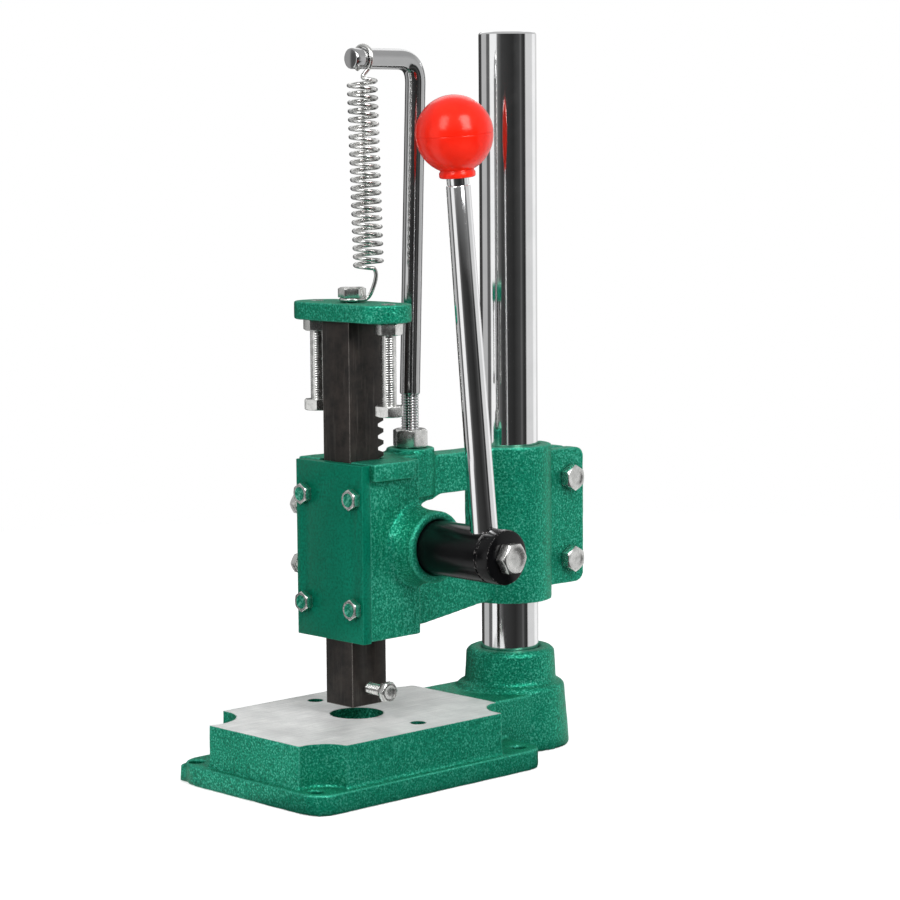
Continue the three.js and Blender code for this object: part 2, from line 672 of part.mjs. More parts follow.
GIB_SCREW_Z.forEach((z, i) => {
  const level = ['lower', 'upper'][i];
  const centre = [0, RAM_Y + GIB_SCREW_Y, z];
  piece(`gib_screw_${level}`, hexBolt(M6, 'x', -GIB_SCREW_OUT + M6.head, gibOuter - GAP, centre), 'zinc');
  piece(`gib_lock_nut_${level}`, hexNut(M6, 'x', -BLOCK_HALF_WIDTH - M6.nut, centre), 'zinc');
});

CLAMP_BOLT_Z.forEach((z, i) => {
  const level = ['lower', 'upper'][i];
  const centre = [0, CLAMP_BOLT_Y, z];
  const ear = EAR_THICKNESS / 2;
  piece(`clamp_bolt_${level}`, hexBolt(M8, 'x', ear + SEAT, -ear - M8.nut - 2, centre, Math.PI / 6), 'zinc');
  piece(`clamp_nut_${level}`, hexNut(M8, 'x', -ear - M8.nut, centre, Math.PI / 6), 'zinc');
});

// ------------------------------------------------------ pinion shaft and grip
// The outline of the pinion, with one tooth in the rack's middle space.
function pinionOutline() {
  const baseRadius = pitchRadius * Math.cos(PRESSURE_ANGLE);
  const tipRadius = pitchRadius + GEAR_MODULE;
  const rootRadius = pitchRadius - DEDENDUM;
  const involute = (radius) => {
    const angle = Math.acos(Math.min(1, baseRadius / radius));
    return Math.tan(angle) - angle;
  };
  const halfAtPitch = Math.PI / (2 * PINION_TEETH) - BACKLASH / (2 * pitchRadius) / 2;
  const halfAt = (radius) => halfAtPitch + involute(pitchRadius) - involute(Math.max(radius, baseRadius));
  const steps = 4;
  const step = (tipRadius - baseRadius) / steps;
  const flank = Array.from({ length: steps + 1 }, (_, i) => baseRadius + step * i);
  const points = [];
  for (let tooth = 0; tooth < PINION_TEETH; tooth += 1) {
    const middle = Math.PI - RACK_PHASE / pitchRadius + (2 * Math.PI * tooth) / PINION_TEETH;
    const at = (radius, angle) => points.push([
      pinionY + radius * Math.cos(angle),
      PINION_Z + radius * Math.sin(angle),
    ]);
    at(rootRadius, middle - halfAt(baseRadius));
    for (const radius of flank) at(radius, middle - halfAt(radius));
    for (const radius of [...flank].reverse()) at(radius, middle + halfAt(radius));
    at(rootRadius, middle + halfAt(baseRadius));
  }
  return points;
}

const handleAxis = [HANDLE_X, pinionY, PINION_Z];
const RETAINER_BOLT_DEPTH = 16;
const HUB_GROOVE_X = 82; // a shallow turned groove near the outer end
const HUB_GROOVE_DEPTH = 0.6;

function pinionShaft() {
  const radius = SHAFT_DIA / 2;
  const toothEnd = RAM_WIDTH / 2 + GAP;
  const farEnd = FAR_BOSS_END + GAP;
  const journal = bar('x', SHAFT_DIA, farEnd, -toothEnd, pinionAxis, FINE);
  const teeth = sideProfile(pinionOutline(), -toothEnd - 0.5, toothEnd + 0.5);
  const hub = turned([
    [0, toothEnd],
    [radius, toothEnd],
    [radius, HUB_GROOVE_X - 1],
    [radius - HUB_GROOVE_DEPTH, HUB_GROOVE_X - 0.5],
    [radius - HUB_GROOVE_DEPTH, HUB_GROOVE_X + 0.5],
    [radius, HUB_GROOVE_X + 1],
    [radius, SHAFT_OUTER_END - SHAFT_END_BEVEL],
    [radius - SHAFT_END_BEVEL, SHAFT_OUTER_END],
    [0, SHAFT_OUTER_END],
  ], 'x', pinionAxis, FINE);
  const handleHole = new THREE.CylinderGeometry(HANDLE_DIA_LOW / 2 + GAP, HANDLE_DIA_LOW / 2 + GAP,
    SHAFT_DIA + HANDLE_FOOT, ROUND);
  handleHole.rotateX(Math.PI / 2);
  handleHole.translate(0, 0, (SHAFT_DIA + HANDLE_FOOT) / 2 - HANDLE_FOOT - GAP);
  handleHole.rotateX(HANDLE_LEAN);
  handleHole.translate(...handleAxis);
  return cut(joined([journal, teeth, hub]), [
    solid(handleHole),
    boltHole(M10, 'x', HANDLE_X, SHAFT_OUTER_END + 1, pinionAxis),
    boltHole(M8, 'x', farEnd - 1, farEnd + RETAINER_BOLT_DEPTH + 1, pinionAxis),
  ]);
}
piece('pinion_shaft', pinionShaft(), 'blackGloss');

piece('hub_bolt', hexBolt(M10, 'x', SHAFT_OUTER_END, HANDLE_X + HANDLE_DIA_LOW / 2 + 2 * GAP, pinionAxis),
  'zinc');

// A washer and bolt keep the shaft in its boss on the far side.
const retainerFace = FAR_BOSS_END - SEAT;
function shaftRetainer() {
  const dia = SHAFT_DIA + 2 * RETAINER_RIM;
  return bar('x', dia, retainerFace - RETAINER_THICKNESS, retainerFace, pinionAxis, ROUND)
    .subtract(boltHole(M8, 'x', retainerFace - RETAINER_THICKNESS - 1, retainerFace + 1, pinionAxis));
}
piece('shaft_retainer', shaftRetainer(), 'zinc');
piece('retainer_bolt', hexBolt(M8, 'x', retainerFace - RETAINER_THICKNESS,
  FAR_BOSS_END + RETAINER_BOLT_DEPTH, pinionAxis), 'zinc');

// The handle and its ball are drawn upright and then leaned forward together.
const handle = new THREE.Group();
handle.position.set(...handleAxis);
handle.rotation.x = HANDLE_LEAN;
press.add(handle);

const handleRod = piece('handle_rod', turned([
  [0, -HANDLE_FOOT],
  [HANDLE_DIA_LOW / 2, -HANDLE_FOOT],
  [HANDLE_DIA_LOW / 2, SHAFT_DIA / 2],
  [HANDLE_DIA_HIGH / 2, HANDLE_TOP - 1],
  [HANDLE_DIA_HIGH / 2 - 0.5, HANDLE_TOP],
  [HANDLE_NECK_DIA / 2, HANDLE_TOP],
  [HANDLE_NECK_DIA / 2, HANDLE_NECK_END],
  [0, HANDLE_NECK_END],
]), 'chrome');
handle.add(handleRod);

function ballKnob() {
  const ball = new THREE.SphereGeometry(BALL_DIA / 2, 28, 16);
  ball.rotateX(Math.PI / 2);
  ball.translate(0, 0, BALL_CENTRE);
  const bore = HANDLE_NECK_DIA + 2 * GAP;
  return solid(ball)
    .add(bar('z', BALL_COLLAR_DIA, BALL_COLLAR_START, BALL_CENTRE, [0, 0, 0], ROUND))
    .subtract(bar('z', bore, BALL_COLLAR_START - 1, HANDLE_NECK_END + GAP, [0, 0, 0], ROUND));
}
handle.add(piece('ball_knob', ballKnob(), 'redPlastic'));

// -------------------------------------------------------- hanger and spring
const hangerY = RAM_Y + HANGER_Y;

// A rod bent over at the top: upright where it is threaded, leaning back above.
function springHanger() {
  const bendStart = HANGER_ARM_Z - HANGER_BEND;
  const path = new THREE.CurvePath();
  const point = (y, z) => new THREE.Vector3(0, y, z);
  const topY = hangerY + HANGER_LEAN;
  path.add(new THREE.LineCurve3(point(hangerY, HANGER_THREAD_TOP), point(topY, bendStart)));
  path.add(new THREE.QuadraticBezierCurve3(point(topY, bendStart), point(topY + 0.3, HANGER_ARM_Z),
    point(topY - HANGER_BEND, HANGER_ARM_Z)));
  path.add(new THREE.LineCurve3(point(topY - HANGER_BEND, HANGER_ARM_Z),
    point(RAM_Y + HANGER_ARM_END, HANGER_ARM_Z)));
  const section = new THREE.Shape();
  section.absarc(0, 0, HANGER_DIA / 2, 0, 2 * Math.PI, false);
  const rod = new THREE.ExtrudeGeometry(section, { steps: 48, extrudePath: path, curveSegments: 6 });
  return solid(rod)
    .add(bar('z', HANGER_THREAD.dia, HANGER_ROOT, HANGER_THREAD_TOP + 1, [0, hangerY, 0]));
}
piece('spring_hanger', springHanger(), 'chrome');
piece('hanger_nut', hexNut(HANGER_THREAD, 'z', HANGER_BOSS_TOP, [0, hangerY, 0]), 'zinc');

// The return spring: an eye under the cap bolt, open turns, and a hook over the
// hanger's arm. Its centre line is worked out turn by turn, from the bottom up.
function springPoints() {
  const springY = RAM_Y + SPRING_Y;
  const coil = (SPRING_OUTER_DIA - SPRING_WIRE) / 2;
  const eyeZ = capTop + EYE_GAP + SPRING_WIRE / 2;
  const hook = HANGER_DIA / 2 + HOOK_GAP + SPRING_WIRE / 2;
  const points = [];
  const add = (x, y, z) => points.push(new THREE.Vector3(x, y, z));
  for (let degrees = 100; degrees <= 360; degrees += 20) {
    const angle = THREE.MathUtils.degToRad(degrees);
    add(EYE_RADIUS * Math.cos(angle), RAM_Y + EYE_RADIUS * Math.sin(angle), eyeZ);
  }
  const rise = SPRING_BOTTOM - eyeZ;
  add(EYE_RADIUS, RAM_Y + EYE_TAIL, eyeZ);
  add(EYE_RADIUS, springY + 0.35 * coil, eyeZ + 0.2 * rise);
  add(0.8 * coil, springY + 0.75 * coil, eyeZ + 0.55 * rise);
  add(0.45 * coil, springY + 0.95 * coil, eyeZ + 0.85 * rise);
  const perTurn = 12;
  for (let i = 0; i <= SPRING_TURNS * perTurn; i += 1) {
    const angle = (2 * Math.PI * i) / perTurn;
    const height = SPRING_BOTTOM + ((SPRING_TOP - SPRING_BOTTOM) * i) / (SPRING_TURNS * perTurn);
    const aside = THREE.MathUtils.mapLinear(height, SPRING_BOTTOM, SPRING_TOP, ...SPRING_ASIDE);
    add(aside - coil * Math.sin(angle), springY + coil * Math.cos(angle), height);
  }
  const hookBottom = HANGER_ARM_Z - hook;
  add(-0.7 * coil, springY + 0.55 * coil, (SPRING_TOP + hookBottom) / 2);
  for (let degrees = 235; degrees >= -60; degrees -= 29.5) {
    const angle = THREE.MathUtils.degToRad(degrees);
    add(hook * Math.cos(angle), springY, HANGER_ARM_Z + hook * Math.sin(angle));
  }
  return points;
}

function returnSpring() {
  const section = new THREE.Shape();
  section.absarc(0, 0, SPRING_WIRE / 2, 0, 2 * Math.PI, false);
  return solid(new THREE.ExtrudeGeometry(section, {
    steps: 300,
    extrudePath: new THREE.CatmullRomCurve3(springPoints()),
    curveSegments: 2,
  }));
}
piece('return_spring', returnSpring(), 'zinc');

export default press;
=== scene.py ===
"""The look of the snap setting press: finishes, cast and turned surfaces, light and camera."""

import json
import math

import bmesh
import bpy
from mathutils import Matrix, Vector, noise


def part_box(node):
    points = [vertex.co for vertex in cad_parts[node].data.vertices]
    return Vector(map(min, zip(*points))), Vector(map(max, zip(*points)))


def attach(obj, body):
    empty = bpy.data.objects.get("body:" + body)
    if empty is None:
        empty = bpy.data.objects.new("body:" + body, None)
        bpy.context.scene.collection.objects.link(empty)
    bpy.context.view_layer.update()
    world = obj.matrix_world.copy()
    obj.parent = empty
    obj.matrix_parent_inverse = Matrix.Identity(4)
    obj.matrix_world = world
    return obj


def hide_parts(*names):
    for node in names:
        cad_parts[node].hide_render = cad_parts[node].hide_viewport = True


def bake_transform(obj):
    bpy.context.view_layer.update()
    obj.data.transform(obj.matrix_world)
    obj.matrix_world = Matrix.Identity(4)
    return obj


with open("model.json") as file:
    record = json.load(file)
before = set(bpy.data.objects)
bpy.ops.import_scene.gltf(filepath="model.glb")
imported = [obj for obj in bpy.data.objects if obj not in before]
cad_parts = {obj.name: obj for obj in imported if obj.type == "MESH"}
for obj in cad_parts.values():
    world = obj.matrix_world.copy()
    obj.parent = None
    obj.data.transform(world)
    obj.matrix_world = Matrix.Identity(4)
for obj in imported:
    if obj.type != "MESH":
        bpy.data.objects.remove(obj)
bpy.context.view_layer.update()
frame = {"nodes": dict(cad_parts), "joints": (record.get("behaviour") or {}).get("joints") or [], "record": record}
scene = bpy.context.scene

MM = 0.001
BODY_OF = {node: body for body, nodes in frame["record"]["behaviour"]["bodies"].items()
           for node in nodes}
JOINTS = {joint["name"]: joint for joint in frame["joints"]}
MOUNTS = {mount["name"]: mount for mount in frame["record"]["mounts"]}

# ---------------------------------------------------------------- driving sizes
TABLE_TOP = MOUNTS["table_top"]["pos_m"][2]
SHAFT_AXIS = Vector(JOINTS["handle_turn"]["pos_m"])
RAM_AXIS = Vector((0, MOUNTS["ram_end"]["pos_m"][1], 0))
HANDLE_LEAN = math.radians(5.4)

# ----------------------------------------------------------------------- camera
CAMERA_AZIMUTH = math.radians(46.492)
CAMERA_PITCH = math.radians(6.57)
CAMERA_ROLL = math.radians(-0.422)
CAMERA_DISTANCE = 1.507
CAMERA_LENS = 111.44
CAMERA_RIGHT = 0.0222  # how far the view's centre lies right of the object's middle
CAMERA_DOWN = 0.0274
VIEW_MIDDLE = Vector((0, RAM_AXIS.y + 0.040, 0.200))


def make_camera():
    azimuth, pitch = CAMERA_AZIMUTH, CAMERA_PITCH
    back = Vector((math.sin(azimuth) * math.cos(pitch), -math.cos(azimuth) * math.cos(pitch),
                   math.sin(pitch)))
    level = Vector((math.cos(azimuth), math.sin(azimuth), 0))
    upright = back.cross(level)
    right = level * math.cos(CAMERA_ROLL) + upright * math.sin(CAMERA_ROLL)
    up = upright * math.cos(CAMERA_ROLL) - level * math.sin(CAMERA_ROLL)
    place = VIEW_MIDDLE + level * CAMERA_RIGHT - upright * CAMERA_DOWN + back * CAMERA_DISTANCE
    data = bpy.data.cameras.new("camera")
    data.lens = CAMERA_LENS
    data.sensor_width = 36
    data.clip_end = 20
    camera = bpy.data.objects.new("camera", data)
    camera.matrix_world = Matrix.Translation(place) @ Matrix((right, up, back)).transposed().to_4x4()
    scene.collection.objects.link(camera)
    scene.camera = camera


# ------------------------------------------------------------------ shader help
def add(tree, kind, inputs=None, **settings):
    """A shader node. Each input is a value or another node's output."""
    made = tree.nodes.new("ShaderNode" + kind)
    for key, value in settings.items():
        setattr(made, key, value)
    for key, value in (inputs or {}).items():
        if isinstance(value, bpy.types.NodeSocket):
            tree.links.new(value, made.inputs[key])
        else:
            made.inputs[key].default_value = value
    return made


def mixed(tree, share, first, second):
    """A colour between two colours."""
    return add(tree, "Mix", {0: share, 6: first, 7: second}, data_type="RGBA").outputs[2]


def spread(tree, value, low, high, to_low=0.0, to_high=1.0):
    """Maps low..high to to_low..to_high, and holds the ends."""
    return add(tree, "MapRange", {"Value": value, "From Min": low, "From Max": high,
                                  "To Min": to_low, "To Max": to_high}).outputs[0]


def stirred(tree, vector, scale, detail, roughness):
    """Noise of a size: about 1 / scale metres from one spot to the next."""
    return add(tree, "TexNoise", {"Vector": vector, "Scale": scale, "Detail": detail,
                                  "Roughness": roughness}).outputs[0]


def stretched(tree, vector, x, y, z):
    return add(tree, "Mapping", {"Vector": vector, "Scale": (x, y, z)}).outputs[0]


def combined(tree, first, second, operation="MULTIPLY"):
    """Two values multiplied, or put together by another operation, and held within 0..1."""
    return add(tree, "Math", {0: first, 1: second}, operation=operation, use_clamp=True).outputs[0]


def edges(tree, radius, low, high):
    """1 on corners and edges, 0 on flat ground, from how much a bevel would turn the normal."""
    bevel = add(tree, "Bevel", {"Radius": radius}, samples=6)
    flat = add(tree, "NewGeometry")
    dot = add(tree, "VectorMath", {0: bevel.outputs["Normal"], 1: flat.outputs["Normal"]},
              operation="DOT_PRODUCT")
    return spread(tree, dot.outputs["Value"], low, high, 1.0, 0.0)


def painted_crevice_shade(tree, reach, low, high):
    """1 in corners and under ledges, 0 on open ground: the mask for painted shade that darkens a surface there."""
    open_sky = add(tree, "AmbientOcclusion", {"Distance": reach}, samples=8)
    return spread(tree, open_sky.outputs["AO"], low, high, 1.0, 0.0)


def tone(red, green=None, blue=None):
    """A linear colour, grey if only one number is given."""
    return (red, red if green is None else green, red if blue is None else blue, 1)


def finish(name):
    """A new material: its tree, its shader and the object's own coordinates."""
    material = bpy.data.materials.new(name)
    material.use_nodes = True
    tree = material.node_tree
    shader = tree.nodes["Principled BSDF"]
    coords = add(tree, "TexCoord").outputs["Object"]
    return material, tree, shader, coords


def plug(tree, shader, **sockets):
    """Sets or links the shader's sockets, with _ for a space in their names."""
    for key, value in sockets.items():
        socket = shader.inputs[key.replace("_", " ")]
        if isinstance(value, bpy.types.NodeSocket):
            tree.links.new(value, socket)
        else:
            socket.default_value = value


def bumped(tree, height, strength, distance):
    return add(tree, "Bump", {"Height": height, "Strength": strength,
                              "Distance": distance}).outputs[0]


# -------------------------------------------------------------------- materials
def hammertone(name, dark, body, fleck, bare=False):
    """Hammered enamel over cast iron: dark hollows and pale metallic flecks a millimetre apart, painted shade in
    its corners and painted highlights along its convex edges.

    Where it is `bare`, its edges are rubbed down to the zinc under it.
    """
    material, tree, shader, coords = finish(name)
    grain = stirred(tree, coords, 930.0, 2.5, 0.62)
    fine = stirred(tree, coords, 2000.0, 2.0, 0.6)
    clouds = stirred(tree, coords, 30.0, 3.0, 0.55)
    shade = tone(0.4 * dark[0], 0.4 * dark[1], 0.4 * dark[2])
    lift = spread(tree, clouds, 0.3, 0.7, -0.03, 0.03)
    level = add(tree, "Math", {0: grain, 1: lift}, operation="ADD").outputs[0]
    base = mixed(tree, spread(tree, level, 0.38, 0.50), dark, body)
    base = mixed(tree, spread(tree, level, 0.53, 0.66), base, fleck)
    # Lighter edges: partly paint worn thin there, partly a painted highlight along every convex edge.
    ridge_wear_and_highlight = add(tree, "NewGeometry").outputs["Pointiness"]
    worn = combined(tree, edges(tree, 1.2 * MM, 0.80, 0.995),
                    spread(tree, ridge_wear_and_highlight, 0.515, 0.575), "ADD")
    base = mixed(tree, combined(tree, worn, spread(tree, fine, 0.35, 0.65, 0.25, 0.9)), base, fleck)
    # Painted shade: the ambient occlusion mask darkens the colour in corners, fillets and under ledges.
    base = mixed(tree, combined(tree, painted_crevice_shade(tree, 9 * MM, 0.35, 0.92), 0.72), base, shade)
    metal = spread(tree, level, 0.40, 0.62, 0.34, 0.70)
    if bare:
        rubbed = combined(tree, edges(tree, 0.7 * MM, 0.72, 0.97),
                          spread(tree, clouds, 0.3, 0.6, 0.6, 1.0))
        base = mixed(tree, rubbed, base, tone(0.80, 0.80, 0.77))
        metal = combined(tree, metal, rubbed, "MAXIMUM")
    height = add(tree, "Math", {0: grain, 1: combined(tree, fine, 0.35)}, operation="ADD").outputs[0]
    plug(tree, shader, Base_Color=base, Metallic=metal, Specular_Tint=fleck,
         Roughness=spread(tree, fine, 0.3, 0.7, 0.26, 0.42),
         Normal=bumped(tree, height, 0.8, 0.42 * MM))
    return material


def smooth_enamel():
    """The cover plate's thinner, darker coat."""
    material, tree, shader, coords = finish("green_plate")
    ripple = stirred(tree, coords, 160.0, 3.0, 0.55)
    grain = stirred(tree, coords, 760.0, 2.5, 0.6)
    clouds = stirred(tree, coords, 40.0, 3.0, 0.6)
    base = mixed(tree, spread(tree, grain, 0.36, 0.60), tone(0.001, 0.125, 0.070),
                 tone(0.003, 0.215, 0.130))
    base = mixed(tree, spread(tree, clouds, 0.35, 0.7, 0.0, 0.4), base, tone(0.002, 0.150, 0.085))
    worn = edges(tree, 0.9 * MM, 0.80, 0.995)
    base = mixed(tree, combined(tree, worn, spread(tree, ripple, 0.35, 0.65, 0.2, 0.8)), base,
                 tone(0.04, 0.42, 0.29))
    plug(tree, shader, Base_Color=base, Metallic=0.3, Specular_Tint=tone(0.1, 0.7, 0.5),
         Roughness=spread(tree, grain, 0.3, 0.7, 0.30, 0.45),
         Normal=bumped(tree, combined(tree, ripple, grain, "ADD"), 0.35, 0.2 * MM))
    return material


def ground_iron():
    """The table: ground flat and bare, scratched, with paint and dirt left along its edges."""
    material, tree, shader, coords = finish("table_steel")
    lines = stirred(tree, stretched(tree, coords, 1400.0, 45.0, 45.0), 1.0, 3.0, 0.6)
    scratches = stirred(tree, stretched(tree, coords, 70.0, 2200.0, 70.0), 1.0, 2.0, 0.5)
    patches = stirred(tree, coords, 60.0, 5.0, 0.62)
    specks = stirred(tree, coords, 900.0, 3.0, 0.7)
    base = mixed(tree, spread(tree, patches, 0.32, 0.66), tone(0.74, 0.745, 0.74),
                 tone(0.93, 0.93, 0.92))
    base = mixed(tree, spread(tree, lines, 0.35, 0.62, 0.30, 0.0), base, tone(0.46, 0.465, 0.46))
    base = mixed(tree, spread(tree, scratches, 0.66, 0.74, 0.0, 0.5), base, tone(0.42, 0.42, 0.41))
    base = mixed(tree, spread(tree, specks, 0.60, 0.75, 0.0, 0.5), base, tone(0.33, 0.33, 0.32))
    rim = combined(tree, edges(tree, 1.5 * MM, 0.90, 0.9995), spread(tree, specks, 0.42, 0.56))
    base = mixed(tree, rim, base, tone(0.02, 0.13, 0.085))
    plug(tree, shader, Base_Color=base, Metallic=0.2,
         Roughness=spread(tree, patches, 0.3, 0.7, 0.38, 0.58),
         Normal=bumped(tree, lines, 0.18, 0.05 * MM))
    return material


def chrome(name, rough=0.05, dull=1.0):
    """Hard chrome over a ground bar, with faint rings left by the grinding."""
    material, tree, shader, coords = finish(name)
    draw = stirred(tree, stretched(tree, coords, 900.0, 900.0, 9.0), 1.0, 2.0, 0.6)
    smudge = stirred(tree, coords, 55.0, 4.0, 0.6)
    base = mixed(tree, spread(tree, smudge, 0.3, 0.7), tone(0.82 * dull, 0.825 * dull, 0.83 * dull),
                 tone(0.90 * dull, 0.90 * dull, 0.905 * dull))
    plug(tree, shader, Base_Color=base, Metallic=1.0,
         Roughness=spread(tree, smudge, 0.35, 0.75, rough, rough + 0.06),
         Normal=bumped(tree, draw, 0.05, 0.02 * MM))
    return material


def zinc(name, light=1.0, size=260.0):
    """Bright zinc plate, a little uneven, with dull spots."""
    material, tree, shader, coords = finish(name)
    blots = stirred(tree, coords, size, 4.0, 0.6)
    grain = stirred(tree, coords, 1900.0, 3.0, 0.65)
    base = mixed(tree, spread(tree, blots, 0.34, 0.62),
                 tone(0.55 * light, 0.555 * light, 0.54 * light),
                 tone(0.84 * light, 0.84 * light, 0.82 * light))
    worn = edges(tree, 0.5 * MM, 0.80, 0.99)
    base = mixed(tree, combined(tree, worn, 0.7), base, tone(0.92, 0.92, 0.90))
    plug(tree, shader, Base_Color=base, Metallic=0.95,
         Roughness=spread(tree, blots, 0.3, 0.7, 0.16, 0.32),
         Normal=bumped(tree, combined(tree, blots, grain, "ADD"), 0.16, 0.05 * MM))
    return material


def black_oxide():
    """Brown-black mill scale on the ram, rubbed bright along its edges."""
    material, tree, shader, coords = finish("black_steel")
    scale = stirred(tree, coords, 120.0, 5.0, 0.65)
    drawn = stirred(tree, stretched(tree, coords, 500.0, 500.0, 30.0), 1.0, 3.0, 0.6)
    pits = stirred(tree, coords, 1100.0, 3.0, 0.7)
    base = mixed(tree, spread(tree, scale, 0.34, 0.66), tone(0.014, 0.0125, 0.0115),
                 tone(0.040, 0.032, 0.028))
    base = mixed(tree, spread(tree, drawn, 0.58, 0.78, 0.0, 0.5), base, tone(0.11, 0.10, 0.09))
    worn = edges(tree, 0.9 * MM, 0.80, 0.99)
    base = mixed(tree, combined(tree, worn, spread(tree, scale, 0.3, 0.65, 0.25, 0.95)), base,
                 tone(0.42, 0.39, 0.36))
    plug(tree, shader, Base_Color=base, Metallic=0.55,
         Roughness=spread(tree, pits, 0.3, 0.7, 0.34, 0.55),
         Normal=bumped(tree, combined(tree, pits, drawn, "ADD"), 0.35, 0.08 * MM))
    return material


def gloss_black():
    """Stoved gloss black on the hub, chipped to bright metal at its rims."""
    material, tree, shader, coords = finish("black_gloss")
    ripple = stirred(tree, coords, 90.0, 2.0, 0.5)
    chips = stirred(tree, coords, 620.0, 4.0, 0.7)
    worn = edges(tree, 0.8 * MM, 0.85, 0.995)
    bare = combined(tree, worn, spread(tree, chips, 0.52, 0.60))
    base = mixed(tree, bare, tone(0.0025, 0.0025, 0.003), tone(0.45, 0.43, 0.42))
    plug(tree, shader, Base_Color=base, Specular_IOR_Level=0.22,
         Roughness=spread(tree, ripple, 0.3, 0.7, 0.16, 0.26),
         Normal=bumped(tree, combined(tree, ripple, spread(tree, chips, 0.5, 0.6, 0.0, 0.1), "ADD"),
                       0.10, 0.25 * MM))
    return material


def red_plastic():
    """Moulded phenolic with a soft gloss and a slight cloudiness."""
    material, tree, shader, coords = finish("red_plastic")
    clouds = stirred(tree, coords, 60.0, 3.0, 0.5)
    skin = stirred(tree, coords, 420.0, 2.0, 0.5)
    base = mixed(tree, spread(tree, clouds, 0.3, 0.7), tone(0.84, 0.014, 0.004),
                 tone(0.95, 0.024, 0.008))
    plug(tree, shader, Base_Color=base, Specular_Tint=tone(1.0, 0.55, 0.5),
         Subsurface_Weight=0.08, Subsurface_Radius=(0.004, 0.001, 0.0005), Subsurface_Scale=0.5,
         Roughness=spread(tree, clouds, 0.3, 0.7, 0.18, 0.25),
         Normal=bumped(tree, skin, 0.04, 0.05 * MM))
    return material


def bronze():
    """Bare cast bronze, unevenly tarnished."""
    material, tree, shader, coords = finish("bronze")
    blots = stirred(tree, coords, 200.0, 4.0, 0.6)
    base = mixed(tree, spread(tree, blots, 0.3, 0.7), tone(0.30, 0.17, 0.06),
                 tone(0.50, 0.32, 0.13))
    plug(tree, shader, Base_Color=base, Metallic=0.9,
         Roughness=spread(tree, blots, 0.3, 0.7, 0.3, 0.5),
         Normal=bumped(tree, blots, 0.15, 0.05 * MM))
    return material


FINISHES = {
    "green_casting": hammertone("green_casting", tone(0.003, 0.140, 0.080),
                                tone(0.010, 0.290, 0.172), tone(0.11, 0.60, 0.43)),
    "green_plate": smooth_enamel(),
    "table_steel": ground_iron(),
    "chrome": chrome("chrome"),
    "hanger_chrome": chrome("hanger_chrome", 0.09, 0.62),
    "zinc": zinc("zinc"),
    "spring_wire": zinc("spring_wire", 0.98, 60.0),
    "black_steel": black_oxide(),
    "black_gloss": gloss_black(),
    "red_plastic": red_plastic(),
    "bronze": bronze(),
    "rubbed_zinc": zinc("rubbed_zinc", 1.05, 420.0),
    "bolt_green": hammertone("bolt_green", tone(0.003, 0.13, 0.075), tone(0.010, 0.25, 0.15),
                             tone(0.14, 0.55, 0.40), bare=True),
}

# ------------------------------------------------------------------- mesh help
AXES = {
    "x": Matrix.Rotation(math.pi / 2, 4, "Y"),
    "y": Matrix.Rotation(-math.pi / 2, 4, "X"),
    "z": Matrix.Identity(4),
}


def object_from(mesh, name):
    made = bpy.data.objects.new(name, mesh)
    scene.collection.objects.link(made)
    return made


def mesh_from(work, name):
    """A new object from a bmesh, with its normals facing out."""
    bmesh.ops.recalc_face_normals(work, faces=work.faces)
    mesh = bpy.data.meshes.new(name)
    work.to_mesh(mesh)
    work.free()
    return object_from(mesh, name)


def node_copy(node, name):
    """A copy of a CAD node's shape, its corners welded."""
    source = frame["nodes"][node].data
    mesh = bpy.data.meshes.new(name)
    mesh.from_pydata([v.co[:] for v in source.vertices], [], [p.vertices[:] for p in source.polygons])
    work = bmesh.new()
    work.from_mesh(mesh)
    bmesh.ops.remove_doubles(work, verts=work.verts, dist=0.001 * MM)
    work.to_mesh(mesh)
    work.free()
    return object_from(mesh, name)


def apply_modifiers(piece):
    depsgraph = bpy.context.evaluated_depsgraph_get()
    depsgraph.update()
    mesh = bpy.data.meshes.new_from_object(piece.evaluated_get(depsgraph))
    piece.modifiers.clear()
    piece.data = mesh


def softened(piece, angle):
    """Smooth shading, kept sharp where two faces meet at more than the angle."""
    piece.data.shade_smooth()
    piece.data.set_sharp_from_angle(angle=math.radians(angle))
    return piece


def bevelled(piece, width, segments=2, angle=35):
    modifier = piece.modifiers.new("bevel", "BEVEL")
    modifier.width = width
    modifier.segments = segments
    modifier.limit_method = "ANGLE"
    modifier.angle_limit = math.radians(angle)
    modifier.use_clamp_overlap = True
    apply_modifiers(piece)
    return piece


def flat_faces_joined(piece):
    """Takes away the edges between triangles that lie in one plane."""
    work = bmesh.new()
    work.from_mesh(piece.data)
    bmesh.ops.dissolve_limit(work, angle_limit=math.radians(0.5), verts=work.verts,
                             edges=work.edges)
    work.to_mesh(piece.data)
    work.free()
    return piece


def stand_in(piece, node, slot, finish_name=None):
    """Gives a piece its finish and body, and lets it stand for its CAD node."""
    if not any(piece.data.materials):
        piece.data.materials.clear()
        piece.data.materials.append(FINISHES[finish_name or slot])
    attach(piece, BODY_OF[node])
    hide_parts(node)
    return piece


def centre_of(node):
    low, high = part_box(node)
    return (low + high) / 2


def rings_to_faces(work, rings):
    """Bridges closed rings of vertices, each as long as the next."""
    for lower, upper in zip(rings, rings[1:]):
        count = len(lower)
        for i in range(count):
            j = (i + 1) % count
            work.faces.new((lower[i], lower[j], upper[j], upper[i]))


